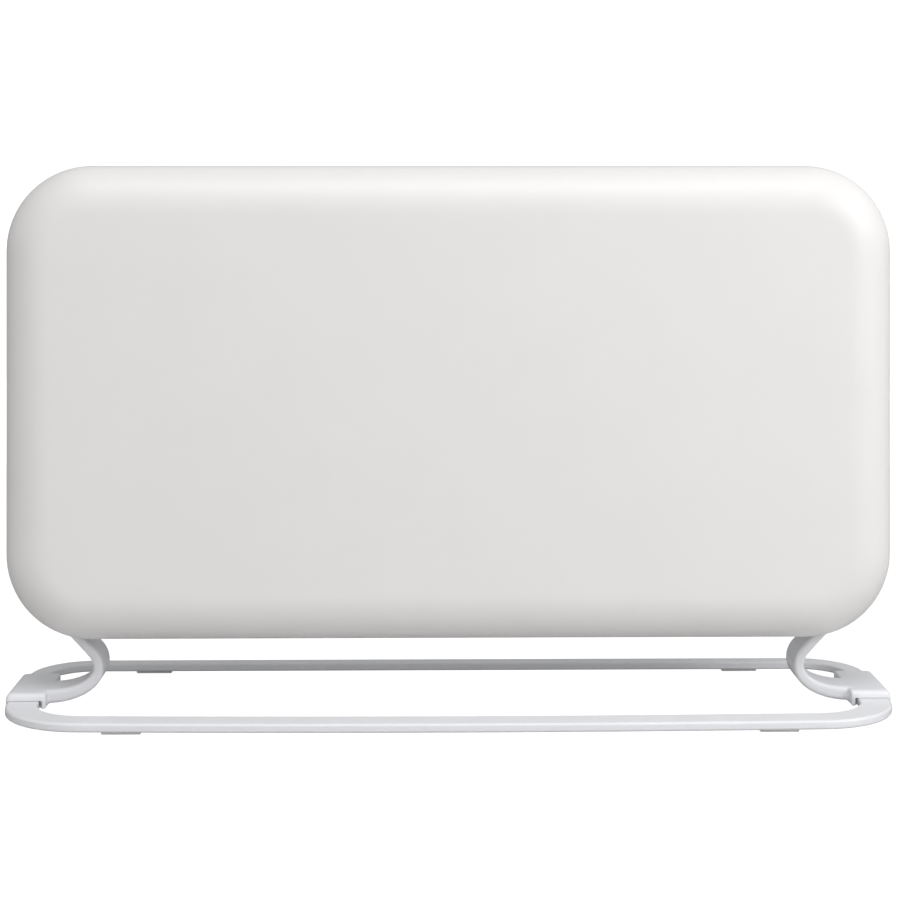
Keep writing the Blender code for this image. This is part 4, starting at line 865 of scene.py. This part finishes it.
feet = ("ribbon_foot_left", "foot_bracket_left", -1), ("ribbon_foot_right", "foot_bracket_right", 1)
for name, node, side in feet:
    body = fused([ribbon_sweep(side), saddle_block(side), flange_block(side)])
    combined(body, tube_channels(side), "DIFFERENCE")
    set_down(name, lifted(body), "cast_white", instead=[node], angle=42)

# %% [markdown]
# ## Control panel
# Keys and window sit on a slope at the back of the top, so the panel is worked out in the slope's
# own frame: X along the heater, Y down the slope, Z out of it. They lie in one lane, a little below
# the slope's middle.

# %% The slope's frame
slope = math.radians(40)
panel_wall = 2.5 * mm
run_start_y = seam_y + 10 * mm + clearance
run = back_y - clearance - run_start_y
panel_x = (fascia_low.x + fascia_high.x) / 2
panel_middle_z = case_top - 1 * mm - run / 2 * math.tan(slope)
panel_middle = Vector((panel_x, run_start_y + run / 2, panel_middle_z))
panel_frame = Matrix.Translation(panel_middle) @ Matrix.Rotation(-slope, 4, "X")
lane = 3.5 * mm


def on_slope(thing):
    """Carries a mesh, or a helper object's mesh, from the slope's frame to the world."""
    mesh = thing.data if isinstance(thing, bpy.types.Object) else thing
    mesh.transform(panel_frame)
    return thing


def along(node):
    """Place of a node's middle along the slope's X."""
    low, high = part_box(node)
    return (low.x + high.x) / 2 - panel_x

# %% [markdown]
# The panel has to carry the case's rounded edge on at both ends. So it starts as the rear box
# itself, closed and without its groove, of which only the part in the opening is kept. Then the
# slope is sunk into it, and it is hollowed from below.

# %% Panel moulding
def closed_box():
    """The rear box with its open side filled."""
    mesh = surface("panel_block", pan(box_profile, 6), wrap_columns=True)
    work = bmesh.new()
    work.from_mesh(mesh)
    rim = [edge for edge in work.edges if edge.is_boundary]
    bmesh.ops.contextual_create(work, geom=rim)
    bmesh.ops.recalc_face_normals(work, faces=work.faces)
    work.to_mesh(mesh)
    work.free()
    return held("panel", mesh)


def panel_body():
    """The part of the closed box that fills the opening, sunk to the slope and hollow below."""
    panel = closed_box()
    space = box_between("space", fascia_low, fascia_high + Vector((0, past, past)))
    combined(panel, [space], "INTERSECT")
    half = (fascia_high.x - fascia_low.x) / 2 - panel_wall
    far, deep = 60 * mm, 80 * mm
    above = on_slope(box_between("above", (-half, -far, 0), (half, far, far), 1.5 * mm))
    low = (fascia_low.x + panel_wall, fascia_low.y + panel_wall, fascia_low.z - past)
    high = (fascia_high.x - panel_wall, back_y - panel_wall, case_top)
    hollow = box_between("hollow", low, high, 1 * mm)
    lid = box_between("lid", (-half * 2, -deep, -panel_wall), (half * 2, deep, deep))
    combined(hollow, [on_slope(lid)], "DIFFERENCE")
    return combined(panel, [above, hollow], "DIFFERENCE")

# %% [markdown]
# Each key has a round hole with a chamfered mouth, and the window a shallow seat round a through
# cut. They are made in the slope's frame and carried over.

# %% Panel
window_half = (19 * mm, 9 * mm)
seat_depth = 1.6 * mm
hole_radius, hole_mouth = 5.9 * mm, 6.5 * mm
keys = {"minus_button": "minus_key", "plus_button": "plus_key", "mode_button": "mode_key"}


def window_box(name, shrink, bottom, top):
    """Block of the window's outline, made smaller all round by shrink."""
    x = along("display_window")
    a, b = window_half[0] - shrink, window_half[1] - shrink
    return box_between(name, (x - a, lane - b, bottom), (x + a, lane + b, top))


def key_hole(x):
    """Round hole with a chamfer at its mouth as wide as it is deep."""
    chamfer = hole_mouth - hole_radius
    profile = [(0, past), (hole_mouth, past), (hole_mouth, 0), (hole_radius, -chamfer)]
    profile += [(hole_radius, -past), (0, -past)]
    return held("key_hole", turned("key_hole", profile, (x, lane, 0), (0, 0, 1), 64))


cuts = [window_box("window_cut", 0, -seat_depth, past)]
cuts.append(window_box("window_cut", panel_wall, -past, past))
cuts += [key_hole(along(key)) for key in keys]
panel = panel_body()
combined(panel, [on_slope(cut) for cut in cuts], "DIFFERENCE")
softened(panel, 0.3 * mm, 2, 45)
set_down("control_panel", lifted(panel), "moulded_white", instead=["control_fascia"])

# %% [markdown]
# The window lies in its seat and stands a clearance proud of the slope. Its edges are rounded as a
# polished plastic pane's are.

# %% Window
glass = window_box("glass", clearance, clearance - seat_depth, clearance)
softened(glass, 0.35 * mm, 3)
glass_mesh = lifted(on_slope(glass))
set_down("display_glass", glass_mesh, "smoked_window", instead=["display_window"])

# %% [markdown]
# A key is a turned cap with a dished top. Below the panel it has a flange that stops it and a stem
# that presses the switch.

# %% Key caps
key_radius, key_rise, key_dish = 5.5 * mm, 1.6 * mm, 0.35 * mm
shoulder, rim_width, rim_drop = 0.7 * mm, 0.2 * mm, 0.1 * mm
flange_radius, flange_low = key_radius + 1.2 * mm, 1 * mm
stem_radius, stem_length = 2 * mm, 4.25 * mm


def key_profile():
    """Dished top z = rise - dish * (1 - (r/R)^2), a round shoulder, flange and stem."""
    r = lerp(0, key_radius - shoulder - rim_width, 10)
    top = np.column_stack([r, key_rise - rim_drop - key_dish * (1 - (r / key_radius) ** 2)])
    centre = (key_radius - shoulder, key_rise - shoulder)
    side = arc(centre, (shoulder, shoulder), math.pi / 2, 0, 8)
    under = -panel_wall - clearance
    stop, foot = under - flange_low, -panel_wall - stem_length
    rest = [(key_radius, under), (flange_radius, under), (flange_radius, stop)]
    rest += [(stem_radius, stop), (stem_radius, foot), (0, foot)]
    return np.vstack([top, side, rest])

# %% [markdown]
# The signs are printed: thin films that start just above the middle of the dish. They are plus,
# minus and an open ring for the mode.

# %% Keys and their signs
film_low = key_rise - key_dish - 0.05 * mm
film_high = film_low + 0.18 * mm
bar_long, bar_thin = 1.9 * mm, 0.3 * mm
ring_inner, ring_outer = 1.5 * mm, 2.0 * mm


def film(name, x, halves):
    """One thin mark out of flat bars round one middle, (half length, half height) each."""
    bars = []
    for a, b in halves:
        low, high = (x - a, lane - b, film_low), (x + a, lane + b, film_high)
        bars.append(box_between(name, low, high, 0.05 * mm, 2))
    return combined(bars[0], bars[1:], "UNION")


def ring_mark(x):
    """Open ring: a flat band over 290 degrees, whose gap of 70 degrees is at the top."""
    angle = lerp(math.radians(125), math.radians(415), 48)[:, None]
    r = np.array([ring_inner, ring_outer, ring_outer, ring_inner])
    z = np.array([film_low, film_low, film_high, film_high])
    across, down = x + r * np.cos(angle), lane - r * np.sin(angle)
    points = np.stack(np.broadcast_arrays(across, down, z), -1)
    return held("mode_ring", surface("mode_ring", points, wrap_columns=True, caps=True))


minus = [(bar_long, bar_thin)]
signs = {"minus_button": minus, "plus_button": minus + [(bar_thin, bar_long)]}
for node, body in keys.items():
    x = along(node)
    cap = on_slope(turned(node, key_profile(), (x, lane, 0), (0, 0, 1), 64))
    set_down(node + "_cap", cap, "grey_plastic", body, [node], angle=50)
    mark = film(node + "_film", x, signs[node]) if node in signs else ring_mark(x)
    set_down(node + "_sign", lifted(on_slope(mark)), "grey_plastic", body, coat="mark_white")

# %% [markdown]
# ## Power rocker and cord gland
# The rocker sits in a rounded bezel: a flat rim on the back of the case, a body through the wall,
# and a deep well that is cut out of both.

# %% Rocker frame
rocker_x, rocker_z = (rocker_low.x + rocker_high.x) / 2, (rocker_low.z + rocker_high.z) / 2
rim_out, body_inset, body_depth, well_inset, well_depth = np.array([1.6, 2.6, 16, 4.6, 14]) * mm


def bezel_box(shrink, rear, front, radius):
    """Block of the bezel's outline, made smaller all round, from rear to front of the back."""
    low = (rocker_low.x + shrink, back_y + rear, rocker_low.z + shrink)
    high = (rocker_high.x - shrink, back_y + front, rocker_high.z - shrink)
    return box_between("bezel", low, high, radius)


bezel = bezel_box(0, clearance, rim_out, 0.5 * mm)
combined(bezel, [bezel_box(body_inset, -body_depth, rim_out / 2, 0.4 * mm)], "UNION")
combined(bezel, [bezel_box(well_inset, -well_depth, past, 0.4 * mm)], "DIFFERENCE")
softened(bezel, 0.25 * mm, 2, 50)
set_down("rocker_bezel", lifted(bezel), "black_plastic", instead=["rocker_frame"])

# %% [markdown]
# The rocker's face is a hollow arc, so that either end stands out when the other is in. It carries
# the usual line for on and ring for off, printed on the arc. At rest it is tipped one way by half
# of its travel.

# %% Rocker
face_radius, half_face, face_out = 26 * mm, 10.4 * mm, 4.2 * mm
pivot_depth, tilt = 3 * mm, math.radians(8)
rocker_half_width = (rocker_high.x - rocker_low.x) / 2 - 5.1 * mm
face_turn = math.asin(half_face / face_radius)
face_centre = face_out + face_radius * math.cos(face_turn)
heel_height, heel_y, keel_y = half_face * 0.8, -2.5 * mm, -5 * mm
rocker_middle = Matrix.Translation((rocker_x, back_y - pivot_depth, rocker_z))
rocker_frame = rocker_middle @ Matrix.Rotation(-tilt, 4, "X")


def rocker_mesh():
    """Bar along X: the hollow arc in front, two back bevels behind."""
    ends = (math.pi - face_turn, math.pi + face_turn)
    face = arc((face_centre, 0), (face_radius, face_radius), *ends, 25)
    outline = np.vstack([face, [(heel_y, -heel_height), (keel_y, 0), (heel_y, heel_height)]])
    x = np.array([-rocker_half_width, rocker_half_width])[:, None]
    points = np.stack(np.broadcast_arrays(x, outline[:, 0], outline[:, 1]), -1)
    bar = held("rocker", surface("rocker", points, wrap_columns=True, caps=True))
    return lifted(softened(bar, 0.45 * mm, 3, 30))


def on_face(x, z, lift):
    """Points on the hollow arc, or lifted off it: y = centre - sqrt(R^2 - z^2) + lift."""
    y = face_centre - np.sqrt(face_radius**2 - z**2) + lift
    return np.stack(np.broadcast_arrays(x, y, z), -1)

# %% [markdown]
# Each sign is a thin film whose section has four corners, two near the face and two above it.

# %% Rocker signs
film_lift = np.array([0.02, 0.02, 0.14, 0.14]) * mm
off_section = np.array([1.9, 2.5, 2.5, 1.9]) * mm
on_section = np.array([-0.35, 0.35, 0.35, -0.35]) * mm
off_z, on_ends = -5.4 * mm, (3.2 * mm, 7.6 * mm)


def off_ring():
    """Ring printed on the lower half of the face, wrapped onto its arc."""
    angle = lerp(0, 2 * math.pi, 49)[:-1, None]
    points = on_face(off_section * np.cos(angle), off_z + off_section * np.sin(angle), film_lift)
    return surface("off_ring", points, wrap_rows=True, wrap_columns=True)


def on_line():
    """Line printed on the upper half of the face."""
    points = on_face(on_section, lerp(*on_ends, 9)[:, None], film_lift)
    return surface("on_line", points, wrap_columns=True, caps=True)


rocker_pieces = (
    ("rocker_face", rocker_mesh(), ["power_rocker"], "black_plastic"),
    ("rocker_off", off_ring(), [], "mark_white"),
    ("rocker_on", on_line(), [], "mark_white"),
)
for name, mesh, covered, coat in rocker_pieces:
    mesh.transform(rocker_frame)
    set_down(name, mesh, "black_plastic", "rocker", covered, coat)

# %% [markdown]
# The gland is where the mains cord would enter. It is one turned piece, so its whole shape is a
# closed profile: the mouth, the rim outside, the neck through the wall and the collar inside.

# %% Cord gland
def gland_profile():
    """Rim with rounded edges outside, neck through the case, and a tapered collar inside."""
    neck, collar, bore = 7 * mm, 10 * mm, 3.4 * mm
    rim = arc((9 * mm, clearance + 1.3 * mm), (1 * mm, 1.3 * mm), math.pi / 2, -math.pi / 2, 12)
    mouth = arc((4.4 * mm, clearance + 1.6 * mm), (1 * mm, 1 * mm), math.pi, math.pi / 2, 8)
    back = -moulded_wall - clearance
    inner = [(neck, clearance), (neck, back), (collar, back), (collar, back - 2.5 * mm)]
    inner += [(neck, back - 5 * mm), (bore, back - 5 * mm)]
    return np.vstack([mouth, rim, inner, mouth[:1]])


gland = turned("gland", gland_profile(), (gland_x, back_y, gland_z), (0, 1, 0), 64)
set_down("gland", gland, "black_plastic", instead=["cord_gland"], angle=45)

# %% [markdown]
# ## Screws
# Each screw is a turned pan head and shank with a crossed recess. Its place is read from the frame:
# the head is at one end of the solid's box, and the shank is the rest of it.

# %% Screws
arm_reach, arm_thin, arm_floor, brim = 0.52, 0.11, 0.45, 0.35


def pan_screw(node, way, head_radius, head_height, radius):
    """Screw along a direction; the recess and the head's brim are shares of the head's size."""
    low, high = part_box(node)
    way = Vector(way)
    length = abs((high - low).dot(way))
    under = (low + high) / 2 + way * (length / 2 - head_height)
    rise = (1 - brim) * head_height
    crown = arc((0, brim * head_height), (head_radius, rise), math.pi / 2, 0, 12)
    shank = head_height - length
    rest = [(head_radius, 0), (radius, 0), (radius, shank + radius * 0.6), (0, shank)]
    profile = np.vstack([crown, rest])
    screw = held("screw", turned("screw", profile, (0, 0, 0), (0, 0, 1), 40))
    reach, thin = head_radius * arm_reach, head_radius * arm_thin
    arms = []
    for a, b in ((reach, thin), (thin, reach)):
        start = (-a, -b, head_height * arm_floor)
        arms.append(box_between("arm", start, (a, b, head_height * 2)))
    combined(screw, arms, "DIFFERENCE")
    softened(screw, 0.06 * mm, 1, 50)
    turn = way.to_track_quat("Z", "Y").to_matrix().to_4x4()
    screw.data.transform(Matrix.Translation(under) @ turn)
    set_down(node + "_head", lifted(screw), "steel_screw", instead=[node], angle=35)


screw_kinds = {
    "shell_screw": ((0, 1, 0), 3.8 * mm, 2.2 * mm, 2 * mm),
    "bracket_screw": ((0, 0, 1), 3.8 * mm, 2.2 * mm, 2 * mm),
    "tube_screw": ((0, 0, -1), 3 * mm, 1.2 * mm, 1.6 * mm),
}
for node in list(frame["nodes"]):
    for kind, sizes in screw_kinds.items():
        if node.startswith(kind):
            pan_screw(node, *sizes)

# %% [markdown]
# ## Floor pads
# The four pads under the tubes are soft rubber, so all of their edges are well rounded.

# %% Pads
pad_round = 0.9 * mm
for node in list(frame["nodes"]):
    if node.startswith("floor_pad"):
        pad = box_between("pad", *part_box(node), pad_round, segments=5)
        set_down(node + "_soft", lifted(pad), "rubber", instead=[node], angle=60)

# %% [markdown]
# ## What stays as it is
# The chassis, the heating element and the electronics are inside the case. Their solids are right
# as they stand, so they only get their finishes, by the record's material slots.

# %% Finishes for the frame's own solids
slot_of = {row["node"]: row["material_slot"] for row in frame["record"]["subparts"]}
for node, thing in frame["nodes"].items():
    thing.data.materials.clear()
    thing.data.materials.append(finishes[slot_of[node]])
print("solids with a finish:", len(frame["nodes"]))

# %% [markdown]
# ## Stage, light and camera
# The photograph shows the heater cut out on white. A white floor that turns up into a dome gives
# that from every side. It is seen by the camera only, so it doesn't flatten the shading.

# %% Stage
stage_radius, stage_z, stage_glow = 9.0, -0.5 * mm, 1.1


def stage_dome():
    """Floor disc that turns up into a dome: one profile turned round the vertical."""
    flat = lerp((0, stage_z), (stage_radius, stage_z), 8)
    bowl = arc((0, 0), (stage_radius, stage_radius), 0, math.pi / 2, 24)[1:]
    return surface("stage", turned_points(np.vstack([flat, bowl]), 64), wrap_columns=True)


def matt(name, grey):
    """Fully matt grey paper without gloss, and its shader."""
    made = bpy.data.materials.new(name)
    made.use_nodes = True
    shader = made.node_tree.nodes["Principled BSDF"]
    shader.inputs["Base Color"].default_value = (grey, grey, grey, 1)
    shader.inputs["Roughness"].default_value = 1.0
    shader.inputs["Specular IOR Level"].default_value = 0.0
    return made, shader


stage = held("stage", stage_dome())
paper, paper_shader = matt("white_paper", 0.3)
paper_shader.inputs["Emission Color"].default_value = (1, 1, 1, 1)
paper_shader.inputs["Emission Strength"].default_value = stage_glow
stage.data.materials.append(paper)
stage.visible_diffuse = False
stage.visible_glossy = False
stage.visible_shadow = False
stage.visible_transmission = False

# %% [markdown]
# A real studio floor sends light back up under the case, and carries the shade that keeps the
# tubes and feet dark below. The glowing stage can't do that, so a grey disc that the camera
# doesn't see lies just over it.

# %% Bounce from the floor
bounce_z, bounce_grey = -0.4 * mm, 0.62


def bounce_disc():
    """Flat disc in three rings under the heater."""
    rings = [(r, bounce_z) for r in (0, 0.4, 0.8, 1.6)]
    return surface("floor_bounce", turned_points(rings, 64), wrap_columns=True)


bounce = held("floor_bounce", bounce_disc())
bounce.data.materials.append(matt("matt_floor", bounce_grey)[0])
bounce.visible_camera = False
bounce.visible_glossy = False
print("stage and floor:", stage.name, bounce.name)

# %% [markdown]
# Most of the light comes from the whole room. It is brightest above and in front, and fades evenly
# to almost nothing on the far side: the strength follows how far a direction points that way.

# %% World
bright_way, dim, bright = (0.25, -0.58, 0.77), 0.05, 0.67
world = bpy.data.worlds.new("soft_room")
bpy.context.scene.world = world
world.use_nodes = True
tree = world.node_tree
background = tree.nodes["Background"]
where = tree.nodes.new("ShaderNodeTexCoord").outputs["Generated"]
dot = tree.nodes.new("ShaderNodeVectorMath")
dot.operation = "DOT_PRODUCT"
dot.inputs[1].default_value = bright_way
tree.links.new(where, dot.inputs[0])
ramp = tree.nodes.new("ShaderNodeMapRange")
ramp.inputs["From Min"].default_value = -1
ramp.inputs["From Max"].default_value = 1
ramp.inputs["To Min"].default_value = dim
ramp.inputs["To Max"].default_value = bright
tree.links.new(dot.outputs["Value"], ramp.inputs["Value"])
tree.links.new(ramp.outputs["Result"], background.inputs["Strength"])
background.inputs["Color"].default_value = (1, 1, 1, 1)
print("room light from", dim, "to", bright)

# %% [markdown]
# Four soft panels add the shape: a key from the right, a large one over the front that whitens the
# upper edge, a weak fill on the left, and one behind that lights the rear tube. The one behind
# isn't mirrored in the tubes' tops, where it would glare.

# %% Lights
def panel_light(name, place, size, power):
    """Soft rectangular light at a place, aimed at the middle of the case."""
    light = bpy.data.lights.new(name, "AREA")
    light.shape = "RECTANGLE"
    light.size, light.size_y = size
    light.energy = power
    thing = bpy.data.objects.new(name, light)
    bpy.context.scene.collection.objects.link(thing)
    thing.location = place
    toward = Vector((0, 0, middle_z)) - Vector(place)
    thing.rotation_euler = toward.to_track_quat("-Z", "Y").to_euler()
    print(f"{name} light: {power} W at {toward.length:.1f} m")
    return thing


panel_light("key", (1.35, -0.95, 0.95), (0.9, 0.9), 10)
panel_light("top", (0.2, -1.8, 3.2), (2.2, 1.6), 42)
panel_light("fill", (-1.2, -2.0, 0.8), (1.6, 1.6), 2.5)
behind = panel_light("back", (0, 2.8, 0.7), (2.0, 1.2), 15)
behind.visible_glossy = False

# %% [markdown]
# The camera's height, distance and turn were worked out from the photograph. It stands level with
# the case's upper part and looks almost straight ahead, so most of the framing is a lens shift.

# %% Camera
image_rows, focal_rows, axis_row = 900, 2064, 193.0
eye_place, eye_turn = (-0.0257, -1.667, 0.4099), math.radians(0.91)
camera = bpy.data.cameras.new("camera")
camera.sensor_width = 36
camera.lens = camera.sensor_width * focal_rows / image_rows
camera.shift_y = (axis_row - image_rows / 2) / image_rows
camera.clip_start = 0.05
eye = bpy.data.objects.new("camera", camera)
bpy.context.scene.collection.objects.link(eye)
eye.location = eye_place
eye.rotation_euler = (math.pi / 2, 0, -eye_turn)
bpy.context.scene.camera = eye
bpy.context.scene.view_settings.view_transform = "Standard"
bpy.context.scene.view_settings.look = "None"
print(f"lens {camera.lens:.1f} mm, shift {camera.shift_y:.3f}")
